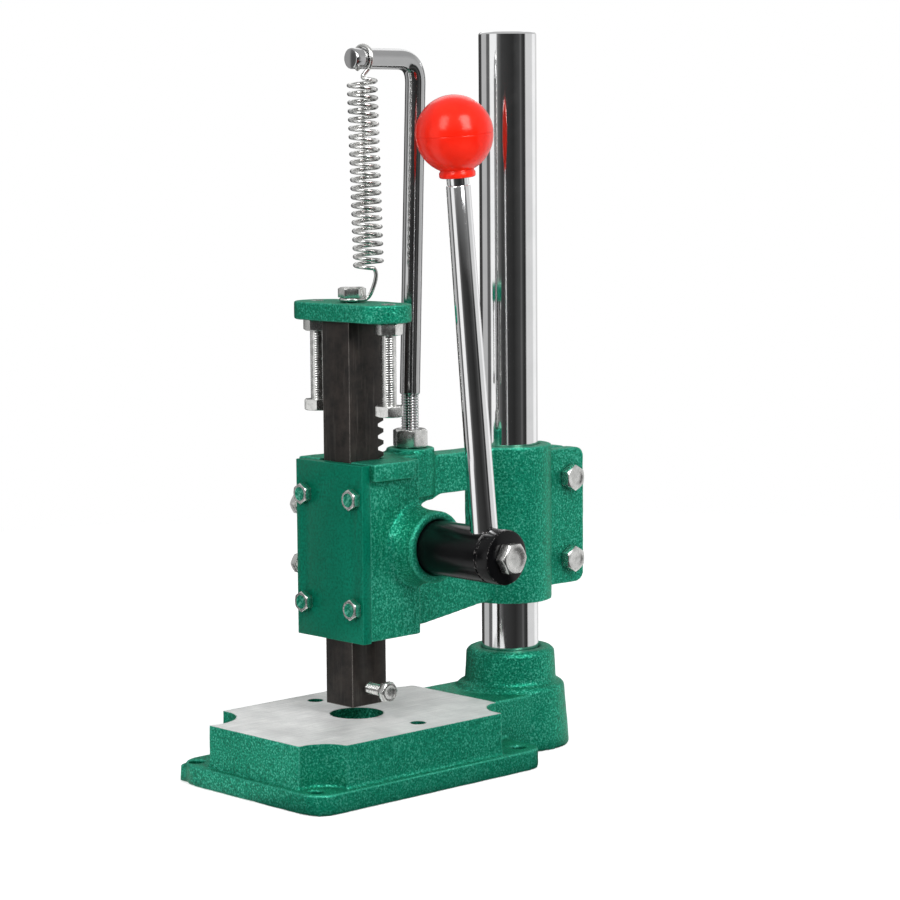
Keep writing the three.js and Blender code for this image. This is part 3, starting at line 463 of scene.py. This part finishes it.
def turned(name, profile, segments=96):
    """A turned piece round Z. The profile runs from the axis back to it."""
    work = bmesh.new()
    first = work.verts.new((0, 0, profile[0][1]))
    last = work.verts.new((0, 0, profile[-1][1]))
    rings = []
    for radius, height in profile[1:-1]:
        rings.append([work.verts.new((radius * math.cos(2 * math.pi * i / segments),
                                      radius * math.sin(2 * math.pi * i / segments), height))
                      for i in range(segments)])
    rings_to_faces(work, rings)
    for i in range(segments):
        j = (i + 1) % segments
        work.faces.new((first, rings[0][j], rings[0][i]))
        work.faces.new((last, rings[-1][i], rings[-1][j]))
    return mesh_from(work, name)


def moved(piece, matrix):
    piece.data.transform(matrix)
    return piece


def joined(first, *others):
    """One object from several: the first one's, with its materials."""
    work = bmesh.new()
    for piece in (first, *others):
        work.from_mesh(piece.data)
    work.to_mesh(first.data)
    work.free()
    for piece in others:
        bpy.data.objects.remove(piece)
    return first


def cut_by(piece, cutter):
    """Takes the cutter's shape out of the piece and removes the cutter."""
    modifier = piece.modifiers.new("cut", "BOOLEAN")
    modifier.operation = "DIFFERENCE"
    modifier.solver = "MANIFOLD"
    modifier.object = cutter
    apply_modifiers(piece)
    bpy.data.objects.remove(cutter)
    return piece


def box_cutter(low, high):
    work = bmesh.new()
    bmesh.ops.create_cube(work, size=1)
    size = Vector(high) - Vector(low)
    middle = (Vector(high) + Vector(low)) / 2
    bmesh.ops.transform(work, verts=work.verts,
                        matrix=Matrix.Translation(middle) @ Matrix.Diagonal((*size, 1)))
    return mesh_from(work, "cutter")


# -------------------------------------------------------------------- fasteners
M6 = {"dia": 6 * MM, "flats": 10 * MM, "head": 4 * MM, "pitch": 1.0 * MM}
M8 = {"dia": 8 * MM, "flats": 13 * MM, "head": 5.3 * MM, "pitch": 1.25 * MM}
M10 = {"dia": 10 * MM, "flats": 15 * MM, "head": 6.0 * MM, "pitch": 1.5 * MM}
HANGER = {"dia": 10 * MM, "flats": 17 * MM, "pitch": 1.5 * MM}
STOP = {"dia": 8 * MM, "flats": 14 * MM, "head": 5.8 * MM, "pitch": 1.25 * MM, "deep": 0.14}
CORNER_ON = math.radians(16.5)  # turns an upright hexagon so that it shows three faces
SIDE_STEPS = 6  # points along each side of a hexagon
BORE_CHAMFER = 0.4 * MM
FULL_THREAD = 0.45  # a thread's depth, as a share of its pitch


def hexagon(name, flats, height, bore=0.0, both_ends=False, turn=0.0):
    """A hexagon from Z = 0 up, its corners turned off at the top; without a bore it is dished."""
    apothem = flats / 2
    count = 6 * SIDE_STEPS
    flat_circle = 0.955 * apothem

    def radius_at(i):
        share = (i % SIDE_STEPS) / SIDE_STEPS
        return apothem / math.cos(math.radians(60 * share - 30))

    def angle_at(i):
        side, step = divmod(i, SIDE_STEPS)
        along = math.tan(math.radians(60 * step / SIDE_STEPS - 30))
        return math.pi / 2 + turn + math.radians(60 * side + 30) + math.atan(along)

    work = bmesh.new()

    def ring(radius, height_at):
        return [work.verts.new((radius(i) * math.cos(angle_at(i)), radius(i) * math.sin(angle_at(i)),
                                height_at(i))) for i in range(count)]

    def drop(i):
        return max(0.0, radius_at(i) - flat_circle) * math.tan(math.radians(30))

    rings = []
    if both_ends:
        rings.append(ring(lambda i: flat_circle, lambda i: 0))
        rings.append(ring(radius_at, drop))
    else:
        rings.append(ring(radius_at, lambda i: 0))
    rings.append(ring(radius_at, lambda i: height - drop(i)))
    rings.append(ring(lambda i: flat_circle, lambda i: height))
    if bore:
        rings.append(ring(lambda i: bore / 2 + BORE_CHAMFER, lambda i: height))
        rings.append(ring(lambda i: bore / 2, lambda i: height - BORE_CHAMFER))
        rings.append(ring(lambda i: bore / 2, lambda i: BORE_CHAMFER))
        rings.append(ring(lambda i: bore / 2 + BORE_CHAMFER, lambda i: 0))
        rings.append(rings[0])
    rings_to_faces(work, rings)
    if not bore:
        dish = [ring(lambda i: 0.74 * apothem, lambda i: height),
                ring(lambda i: 0.66 * apothem, lambda i: height - 0.22 * MM),
                ring(lambda i: 0.30 * apothem, lambda i: height - 0.28 * MM)]
        rings_to_faces(work, [rings[-1], *dish])
        work.faces.new(rings[0])
        work.faces.new(dish[-1])
    return mesh_from(work, name)


def threaded(name, dia, pitch, length, deep=FULL_THREAD, around=32, per_turn=6):
    """A threaded bar from Z = 0 up, its ends run out to the root."""
    depth = deep * pitch
    rows = max(2, round(length / pitch * per_turn))
    work = bmesh.new()
    rings = []
    for row in range(rows + 1):
        height = length * row / rows
        from_end = min(height, length - height)
        lead = min(1.0, from_end / pitch)
        ring = []
        for i in range(around):
            phase = (height / pitch - i / around) % 1.0
            crest = 1.0 - abs(2 * phase - 1)
            radius = dia / 2 - depth * (1 - crest * lead)
            angle = 2 * math.pi * i / around
            ring.append(work.verts.new((radius * math.cos(angle), radius * math.sin(angle), height)))
        rings.append(ring)
    rings_to_faces(work, rings)
    work.faces.new(rings[0])
    work.faces.new(rings[-1])
    return mesh_from(work, name)


def placed(piece, axis, centre, start, towards=1):
    """Turns a piece drawn up Z onto an axis, its Z = 0 at `start` on that axis."""
    flip = Matrix.Identity(4) if towards > 0 else Matrix.Rotation(math.pi, 4, "Y")
    spot = Vector(centre)
    spot["xyz".index(axis)] = start
    return moved(piece, Matrix.Translation(spot) @ AXES[axis] @ flip)


def rubbed_rim(head, axis, centre, within):
    """Gives the rim round a painted bolt's face, where the spanner rubs it, its own finish."""
    head.data.materials.append(FINISHES["bolt_green"])
    head.data.materials.append(FINISHES["rubbed_zinc"])
    index = "xyz".index(axis)
    for face in head.data.polygons:
        out = face.center - centre
        out[index] = 0
        if abs(face.normal[index]) > 0.25 and out.length > within:
            face.material_index = 1


def hex_bolt(node, size, axis, head_at_high, finish_name="zinc", turn=0.0):
    """A bolt in the place of a CAD bolt: its chamfered head and its thread."""
    low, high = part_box(node)
    index = "xyz".index(axis)
    start, end = (high[index], low[index]) if head_at_high else (low[index], high[index])
    inwards = 1 if end > start else -1
    centre = (low + high) / 2
    seat = start + inwards * size["head"]
    head = placed(hexagon(node + "_fine", size["flats"], size["head"], turn=turn), axis, centre, seat,
                  -inwards)
    bevelled(head, 0.18 * MM)
    if finish_name == "bolt_green":
        rubbed_rim(head, axis, centre, 0.72 * size["flats"] / 2)
    length = abs(end - seat)
    hidden = 0.5 * size["head"]  # how far the thread runs up inside the head
    thread = threaded("shank", size["dia"], size["pitch"], length + hidden,
                      size.get("deep", FULL_THREAD))
    shank = placed(thread, axis, centre, seat - inwards * hidden, inwards)
    piece = softened(joined(head, shank), 28)
    return stand_in(piece, node, "zinc", finish_name)


def hex_nut(node, size, axis, finish_name="zinc", turn=0.0):
    low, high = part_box(node)
    index = "xyz".index(axis)
    nut = hexagon(node + "_fine", size["flats"], high[index] - low[index],
                  bore=size["dia"] + 0.3 * MM, both_ends=True, turn=turn)
    placed(nut, axis, (low + high) / 2, low[index])
    return stand_in(softened(bevelled(nut, 0.15 * MM), 28), node, "zinc", finish_name)


def washer(node, slot):
    """A pressed washer with rounded edges, in the place of a CAD washer."""
    piece = flat_faces_joined(node_copy(node, node + "_fine"))
    return stand_in(softened(bevelled(piece, 0.25 * MM), 28), node, slot)


def make_fasteners():
    for i in range(1, 5):
        hex_bolt(f"cover_bolt_{i}", M6, "y", False, "bolt_green")
    for level in ("lower", "upper"):
        hex_bolt(f"gib_screw_{level}", M6, "x", False)
        hex_nut(f"gib_lock_nut_{level}", M6, "x")
        hex_bolt(f"clamp_bolt_{level}", M8, "x", True, turn=math.pi / 6)
        hex_nut(f"clamp_nut_{level}", M8, "x", turn=math.pi / 6)
    for side in ("left", "right"):
        hex_bolt(f"stop_screw_{side}", STOP, "z", False, turn=CORNER_ON)
        hex_nut(f"stop_lock_nut_{side}", M8, "z", turn=CORNER_ON)
    hex_bolt("cap_bolt", M8, "z", True, turn=CORNER_ON)
    hex_bolt("die_screw", M6, "x", True)
    hex_bolt("hub_bolt", M10, "x", True)
    hex_bolt("retainer_bolt", M8, "x", False)
    washer("shaft_retainer", "zinc")
    hex_nut("hanger_nut", HANGER, "z")


# --------------------------------------------------------------------- castings
VOXEL = 0.8 * MM
CAST_WAVE = 0.16 * MM  # how far the cast skin wanders in and out
WIDE_WAVE, NARROW_WAVE = 14 * MM, 5 * MM
TABLE_ALLOWANCE = 4 * MM  # what is cast on the table and then ground off
TABLE_REAR = RAM_AXIS.y + 73 * MM


def cast_skin(piece, voxel, rounds, wave=CAST_WAVE):
    """Turns a sharp solid into a cast one: rounded edges, filled corners, a wavy skin."""
    remesh = piece.modifiers.new("remesh", "REMESH")
    remesh.mode = "VOXEL"
    remesh.voxel_size = voxel
    smooth = piece.modifiers.new("smooth", "SMOOTH")
    smooth.factor = 0.5
    smooth.iterations = rounds
    apply_modifiers(piece)
    mesh = piece.data
    normals = [v.normal.copy() for v in mesh.vertices]
    for vertex, normal in zip(mesh.vertices, normals):
        swell = noise.noise(vertex.co / WIDE_WAVE) + 0.6 * noise.noise(vertex.co / NARROW_WAVE)
        vertex.co += normal * (wave * swell)
    return piece


def make_base():
    """The base: cast all over, then its table ground flat."""
    piece = node_copy("base_casting", "base_cast")
    neck_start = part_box("column")[0].y - 20 * MM
    for vertex in piece.data.vertices:
        if abs(vertex.co.z - TABLE_TOP) < 0.05 * MM and vertex.co.y < neck_start:
            vertex.co.z += TABLE_ALLOWANCE
    cast_skin(piece, VOXEL, 7)
    low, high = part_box("base_casting")
    cutter = box_cutter((low.x - 1, low.y - 1, TABLE_TOP),
                        (high.x + 1, TABLE_REAR, TABLE_TOP + 5 * TABLE_ALLOWANCE))
    cut_by(piece, cutter)
    piece.data.materials.clear()
    piece.data.materials.append(FINISHES["green_casting"])
    piece.data.materials.append(FINISHES["table_steel"])
    for face in piece.data.polygons:
        if abs(face.center.z - TABLE_TOP) < 0.002 * MM and face.normal.z > 0.99:
            face.material_index = 1
    return stand_in(softened(piece, 40), "base_casting", "green_casting")


def make_head():
    piece = cast_skin(node_copy("head_casting", "head_cast"), VOXEL, 6)
    return stand_in(softened(piece, 60), "head_casting", "green_casting")


def make_cap():
    piece = cast_skin(node_copy("cap_plate", "cap_cast"), 0.6 * MM, 12, 0.12 * MM)
    return stand_in(softened(piece, 60), "cap_plate", "green_casting")


def make_cover():
    piece = flat_faces_joined(node_copy("cover_plate", "cover_plate_fine"))
    return stand_in(softened(bevelled(piece, 0.7 * MM, 3), 28), "cover_plate", "green_plate")


# ---------------------------------------------------------------- turned pieces
def make_column():
    low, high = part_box("column")
    radius = (high.x - low.x) / 2
    chamfer = 1.2 * MM
    profile = [(0, low.z), (radius - chamfer, low.z), (radius, low.z + chamfer)]
    profile += [(radius, high.z - chamfer), (radius - 0.4 * chamfer, high.z - 0.35 * chamfer),
                (radius - chamfer, high.z), (0, high.z)]
    piece = softened(turned("column_bar", profile, 160), 30)
    return stand_in(piece, "column", "chrome")


def handle_frame():
    """Where the handle's rod starts, and how it leans."""
    x = centre_of("handle_rod").x
    return Matrix.Translation((x, SHAFT_AXIS.y, SHAFT_AXIS.z)) @ Matrix.Rotation(HANDLE_LEAN, 4, "X")


ROD_FOOT = -8 * MM
ROD_TOP = 192.7 * MM
ROD_LOW, ROD_HIGH = 7.25 * MM, 6.2 * MM  # radius at the hub and under the neck
NECK_RADIUS = 5.7 * MM
NECK_TOP = 212 * MM
HUB_RADIUS = 14.5 * MM
BALL_RADIUS = 20 * MM
BALL_CENTRE = 218.3 * MM
BALL_COLLAR = 9.3 * MM
BALL_FOOT = 196.4 * MM
BALL_LIP = 1.0 * MM  # the rounding at the collar's foot
GROOVE_BACK = 9 * MM  # the hub's turned groove, from its outer end
GROOVE_DEPTH = 0.55 * MM
RUNNING_GAP = 0.3 * MM


def make_handle():
    neck = [(NECK_RADIUS, ROD_TOP + 0.3 * MM), (NECK_RADIUS, NECK_TOP), (0, NECK_TOP)]
    profile = [(0, ROD_FOOT), (ROD_LOW - 0.6 * MM, ROD_FOOT), (ROD_LOW, ROD_FOOT + 0.6 * MM),
               (ROD_LOW, HUB_RADIUS), (ROD_HIGH, ROD_TOP - 0.9 * MM),
               (ROD_HIGH - 0.25 * MM, ROD_TOP - 0.3 * MM), (ROD_HIGH - 0.7 * MM, ROD_TOP)] + neck
    piece = moved(softened(turned("handle_bar", profile, 96), 30), handle_frame())
    return stand_in(piece, "handle_rod", "chrome")


def make_ball():
    """A ball moulded in two halves: a fine step at its equator, and a flared collar."""
    step = 0.12 * MM
    seam = 0.18 * MM
    start = math.asin((BALL_COLLAR - 0.6 * MM) / BALL_RADIUS)
    profile = [(0, BALL_FOOT + 6 * MM), (NECK_RADIUS + 0.3 * MM, BALL_FOOT + 6 * MM),
               (NECK_RADIUS + 0.3 * MM, BALL_FOOT), (BALL_COLLAR - BALL_LIP, BALL_FOOT)]
    for i in range(1, 6):
        angle = math.radians(-90 + 90 * i / 5)
        profile.append((BALL_COLLAR - BALL_LIP + BALL_LIP * math.cos(angle),
                        BALL_FOOT + BALL_LIP + BALL_LIP * math.sin(angle)))
    profile.append((BALL_COLLAR, BALL_FOOT + 2.6 * MM))
    profile.append((BALL_COLLAR - 0.5 * MM, BALL_FOOT + 3.3 * MM))
    lower, upper = 30, 40
    radius = BALL_RADIUS - step
    for i in range(lower + 1):
        angle = start + (math.pi / 2 - start) * i / lower
        height = BALL_CENTRE - radius * math.cos(angle)
        if height > BALL_FOOT + 3.6 * MM:
            profile.append((radius * math.sin(angle), min(height, BALL_CENTRE - seam)))
    profile.append((BALL_RADIUS - 2 * step, BALL_CENTRE))
    for i in range(upper):
        angle = math.pi / 2 * i / upper
        profile.append((BALL_RADIUS * math.cos(angle),
                        BALL_CENTRE + max(seam, BALL_RADIUS * math.sin(angle))))
    profile.append((0, BALL_CENTRE + BALL_RADIUS))
    piece = moved(softened(turned("ball_fine", profile, 128), 40), handle_frame())
    return stand_in(piece, "ball_knob", "red_plastic")


def make_shaft():
    """The hub and its journal, turned smooth round the toothed middle of the CAD shaft."""
    low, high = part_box("pinion_shaft")
    tooth_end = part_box("ram")[1].x + RUNNING_GAP
    groove = high.x - GROOVE_BACK
    profile = [(0, tooth_end), (HUB_RADIUS, tooth_end), (HUB_RADIUS, groove - 1.0 * MM),
               (HUB_RADIUS - GROOVE_DEPTH, groove - 0.5 * MM),
               (HUB_RADIUS - GROOVE_DEPTH, groove + 0.5 * MM),
               (HUB_RADIUS, groove + 1.0 * MM), (HUB_RADIUS, high.x - 1.3 * MM),
               (HUB_RADIUS - 0.35 * MM, high.x - 0.45 * MM), (HUB_RADIUS - 1.2 * MM, high.x),
               (0, high.x)]
    hub = placed(turned("hub", profile, 128), "x", SHAFT_AXIS, 0)
    hole_radius = ROD_LOW + 0.2 * MM
    hole_floor = ROD_FOOT - RUNNING_GAP
    hole = turned("hole", [(0, hole_floor), (hole_radius, hole_floor),
                           (hole_radius, 2 * HUB_RADIUS), (0, 2 * HUB_RADIUS)], 64)
    cut_by(hub, moved(hole, handle_frame()))
    inner = node_copy("pinion_shaft", "inner")
    around = Vector((0.01, 0.01, 0.01))
    cutter = box_cutter((tooth_end, low.y - around.y, low.z - around.z), high + around)
    cut_by(inner, cutter)
    hub.name = "pinion_shaft_fine"
    return stand_in(softened(joined(hub, inner), 30), "pinion_shaft", "black_gloss")


def make_ram():
    piece = flat_faces_joined(node_copy("ram", "ram_bar"))
    return stand_in(softened(bevelled(piece, 0.35 * MM), 28), "ram", "black_steel")


# ------------------------------------------------------------ hanger and spring
def swept(name, points, radius, sides=16):
    """A round bar along a line of points, with flat ends."""
    work = bmesh.new()
    rings = []
    side = Vector((1, 0, 0))
    count = len(points)
    for i, point in enumerate(points):
        ahead = (points[min(i + 1, count - 1)] - points[max(i - 1, 0)]).normalized()
        side = (side - ahead * side.dot(ahead)).normalized()
        other = ahead.cross(side)
        rings.append([work.verts.new(point + radius * (side * math.cos(2 * math.pi * k / sides)
                                                       + other * math.sin(2 * math.pi * k / sides)))
                      for k in range(sides)])
    rings_to_faces(work, rings)
    work.faces.new(rings[0])
    work.faces.new(rings[-1])
    return mesh_from(work, name)


HANGER_Y = RAM_AXIS.y + 41 * MM
HANGER_ROD = 11 * MM
HANGER_LEAN = 6 * MM
HANGER_BEND = 13 * MM
HANGER_ARM_Z = 382.4 * MM
HANGER_THREAD_TOP = 203 * MM


def make_hanger():
    """The bent rod, with the upright thread that its nut runs on."""
    low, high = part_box("spring_hanger")
    top_y = HANGER_Y + HANGER_LEAN
    foot = Vector((0, HANGER_Y, HANGER_THREAD_TOP))
    knee = Vector((0, top_y, HANGER_ARM_Z - HANGER_BEND))
    corner = Vector((0, top_y + 0.3 * MM, HANGER_ARM_Z))
    turn_end = Vector((0, top_y - HANGER_BEND, HANGER_ARM_Z))
    arm_end = Vector((0, low.y, HANGER_ARM_Z))
    points = [foot.lerp(knee, i / 12) for i in range(12)]
    steps = 24
    for i in range(steps + 1):
        t = i / steps
        points.append((1 - t) ** 2 * knee + 2 * t * (1 - t) * corner + t ** 2 * turn_end)
    points += [turn_end.lerp(arm_end, i / 6) for i in range(1, 7)]
    rod = bevelled(swept("hanger_rod", points, HANGER_ROD / 2, 48), 0.9 * MM, 3, 60)
    thread = threaded("thread", HANGER["dia"] - 0.1 * MM, HANGER["pitch"],
                      HANGER_THREAD_TOP - low.z + 1 * MM)
    thread = moved(thread, Matrix.Translation((0, HANGER_Y, low.z)))
    return stand_in(softened(joined(rod, thread), 35), "spring_hanger", "chrome", "hanger_chrome")


SPRING_Y = RAM_AXIS.y + 9.6 * MM
SPRING_COIL = 7.2 * MM  # mean radius
SPRING_WIRE = 1.1 * MM  # radius
SPRING_TURNS = 22
SPRING_START = math.radians(105)  # where the first turn starts, from +Y towards +X
SPRING_LOW, SPRING_HIGH = 272.5 * MM, 371.5 * MM
EYE_RADIUS = 5.8 * MM
EYE_GAP = 0.3 * MM
HOOK_GAP = 0.3 * MM
SPRING_ASIDE = (2.7 * MM, -0.9 * MM)  # how far its foot and its top hang to the side


def rounded_path(points):
    """Cuts the corners of a line of points, twice over."""
    for _ in range(2):
        cut = [points[0]]
        for here, there in zip(points, points[1:]):
            cut += [here.lerp(there, 0.25), here.lerp(there, 0.75)]
        points = cut + [points[-1]]
    return points


def spring_path():
    """The wire's centre line: an eye round the cap bolt, open turns, a hook over the hanger."""
    cap_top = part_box("cap_plate")[1].z
    eye_z = cap_top + EYE_GAP + SPRING_WIRE
    hook = HANGER_ROD / 2 + HOOK_GAP + SPRING_WIRE
    points = [Vector((EYE_RADIUS * math.cos(math.radians(a)),
                      RAM_AXIS.y + EYE_RADIUS * math.sin(math.radians(a)), eye_z))
              for a in range(100, 361, 10)]
    rise = SPRING_LOW - eye_z
    tail = ((EYE_RADIUS, 4.8 * MM, 0), (7.8 * MM, 6.6 * MM, 0.18), (9.7 * MM, 9.0 * MM, 0.73))
    for x, y, share in tail:
        points.append(Vector((x, RAM_AXIS.y + y, eye_z + share * rise)))
    per_turn = 24
    last = SPRING_TURNS * per_turn
    for i in range(last + 1):
        angle = SPRING_START + 2 * math.pi * i / per_turn
        share = i / last
        aside = SPRING_ASIDE[0] * (1 - share) + SPRING_ASIDE[1] * share
        points.append(Vector((aside + SPRING_COIL * math.sin(angle),
                              SPRING_Y + SPRING_COIL * math.cos(angle),
                              SPRING_LOW + (SPRING_HIGH - SPRING_LOW) * share)))
    below = HANGER_ARM_Z - hook
    points.append(Vector((0.25 * SPRING_COIL, SPRING_Y - 0.45 * SPRING_COIL,
                          SPRING_HIGH + 0.25 * (below - SPRING_HIGH))))
    for i in range(21):
        angle = math.radians(-55 + 290 * i / 20)
        points.append(Vector((hook * math.cos(angle), SPRING_Y,
                              HANGER_ARM_Z + hook * math.sin(angle))))
    return rounded_path(points)


def make_spring():
    piece = softened(swept("spring_wire_fine", spring_path(), SPRING_WIRE, 12), 40)
    piece.data.materials.append(FINISHES["spring_wire"])
    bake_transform(piece)
    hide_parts("return_spring")
    return piece


# ------------------------------------------------------------------------ stage
FLOOR_RADIUS = 0.95
FLOOR_TOP, FLOOR_BOTTOM = -0.3 * MM, -4 * MM
FLOOR_LIFT = 0.55  # brings the lit floor up to white for the camera alone
AMBIENT = 0.34
CEILING = 0.55
# What polished metal sees round the press, in degrees from the camera's side,
# positive towards its right: soft boxes between dark flags.
STUDIO = [(-180, 0.05), (-131, 0.05), (-126, 0.5), (-97, 0.5), (-93, 0.12), (-79, 0.12),
          (-75, 1.0), (-47, 1.0), (-42, 0.16), (-26, 0.05), (20, 0.025), (46, 0.06), (52, 0.13),
          (58, 0.05), (71, 0.02), (76, 0.72), (112, 0.72), (116, 1.0), (138, 1.0), (143, 0.72),
          (180, 0.72)]


def studio_bands(tree, direction):
    """The tone of the studio in a direction: the bands by azimuth, and an even ceiling."""
    parts = add(tree, "SeparateXYZ", {0: direction})
    azimuth = add(tree, "Math", {0: parts.outputs[1], 1: parts.outputs[0]}, operation="ARCTAN2").outputs[0]
    shifted = add(tree, "Math", {0: azimuth, 1: 1 / (2 * math.pi),
                                 2: (math.pi / 2 - CAMERA_AZIMUTH) / (2 * math.pi) + 0.5},
                  operation="MULTIPLY_ADD").outputs[0]
    wrapped = add(tree, "Math", {0: shifted}, operation="FRACT").outputs[0]
    ramp = add(tree, "ValToRGB", {0: wrapped})
    stops = ramp.color_ramp.elements
    for i, (degrees, level) in enumerate(STUDIO):
        place = degrees / 360 + 0.5
        stop = stops[i] if i < 2 else stops.new(place)
        stop.position = place
        stop.color = tone(level)
    return mixed(tree, spread(tree, parts.outputs[2], 0.12, 0.5), ramp.outputs[0], tone(CEILING))


def make_world():
    world = bpy.data.worlds.new("studio")
    world.use_nodes = True
    scene.world = world
    tree = world.node_tree
    tree.nodes.clear()
    ray = add(tree, "LightPath")
    coords = add(tree, "TexCoord").outputs["Generated"]
    seen = mixed(tree, ray.outputs["Is Glossy Ray"], tone(AMBIENT), studio_bands(tree, coords))
    colour = mixed(tree, ray.outputs["Is Camera Ray"], seen, tone(1.0))
    backdrop = add(tree, "Background", {0: colour, 1: 1.0})
    add(tree, "OutputWorld", {0: backdrop.outputs[0]})


def make_floor():
    """A pale round floor: white to the camera but for the press's soft shadow, and to glossy rays a glowing
    painted reflection of the studio's bands.
    """
    piece = turned("floor", [(0, FLOOR_BOTTOM), (FLOOR_RADIUS, FLOOR_BOTTOM),
                             (FLOOR_RADIUS, FLOOR_TOP), (0, FLOOR_TOP)], 128)
    material, tree, shader, coords = finish("floor")
    plug(tree, shader, Base_Color=tone(0.86), Roughness=0.9, Specular_IOR_Level=0.1)
    ray = add(tree, "LightPath")
    lift = add(tree, "Emission", {0: tone(1.0), 1: FLOOR_LIFT})
    lit = add(tree, "AddShader", {0: shader.outputs[0], 1: lift.outputs[0]})
    # Painted reflection: to glossy rays the floor glows with the studio bands, though it is no lamp.
    bands = add(tree, "Emission", {0: studio_bands(tree, coords), 1: 1.0})
    plain = add(tree, "MixShader", {0: ray.outputs["Is Camera Ray"],
                                    1: shader.outputs[0], 2: lit.outputs[0]})
    seen = add(tree, "MixShader", {0: ray.outputs["Is Glossy Ray"],
                                   1: plain.outputs[0], 2: bands.outputs[0]})
    tree.links.new(seen.outputs[0], tree.nodes["Material Output"].inputs[0])
    piece.data.materials.append(material)


LAMP_DISTANCE = 1.3


def soft_box(name, azimuth, elevation, width, height, radiance):
    """A rectangular lamp aimed at the press, its azimuth in degrees from the camera's side."""
    angle = CAMERA_AZIMUTH + math.radians(azimuth)
    rise = math.radians(elevation)
    out = Vector((math.sin(angle) * math.cos(rise), -math.cos(angle) * math.cos(rise),
                  math.sin(rise)))
    data = bpy.data.lights.new(name, "AREA")
    data.shape = "RECTANGLE"
    data.size = width
    data.size_y = height
    data.energy = radiance * math.pi * width * height
    lamp = bpy.data.objects.new(name, data)
    aim = out.to_track_quat("Z", "Y").to_matrix().to_4x4()
    lamp.matrix_world = Matrix.Translation(VIEW_MIDDLE + out * LAMP_DISTANCE) @ aim
    scene.collection.objects.link(lamp)


def make_lights():
    soft_box("window_left", -31, 36, 0.42, 0.75, 6.2)
    soft_box("window_right", 37, 36, 0.48, 0.80, 9.4)
    soft_box("back_fill", 180, 40, 0.9, 0.7, 0.8)


# ----------------------------------------------------------------------- make
make_camera()
make_base()
make_column()
make_head()
make_cover()
make_cap()
make_ram()
make_shaft()
make_handle()
make_ball()
make_hanger()
make_spring()
make_fasteners()
for kept, slot_name in (("gib_strip", "bronze"), ("collar_set_screw", "black_steel")):
    frame["nodes"][kept].material_slots[0].material = FINISHES[slot_name]
make_floor()
make_world()
make_lights()
scene.view_settings.view_transform = "Standard"
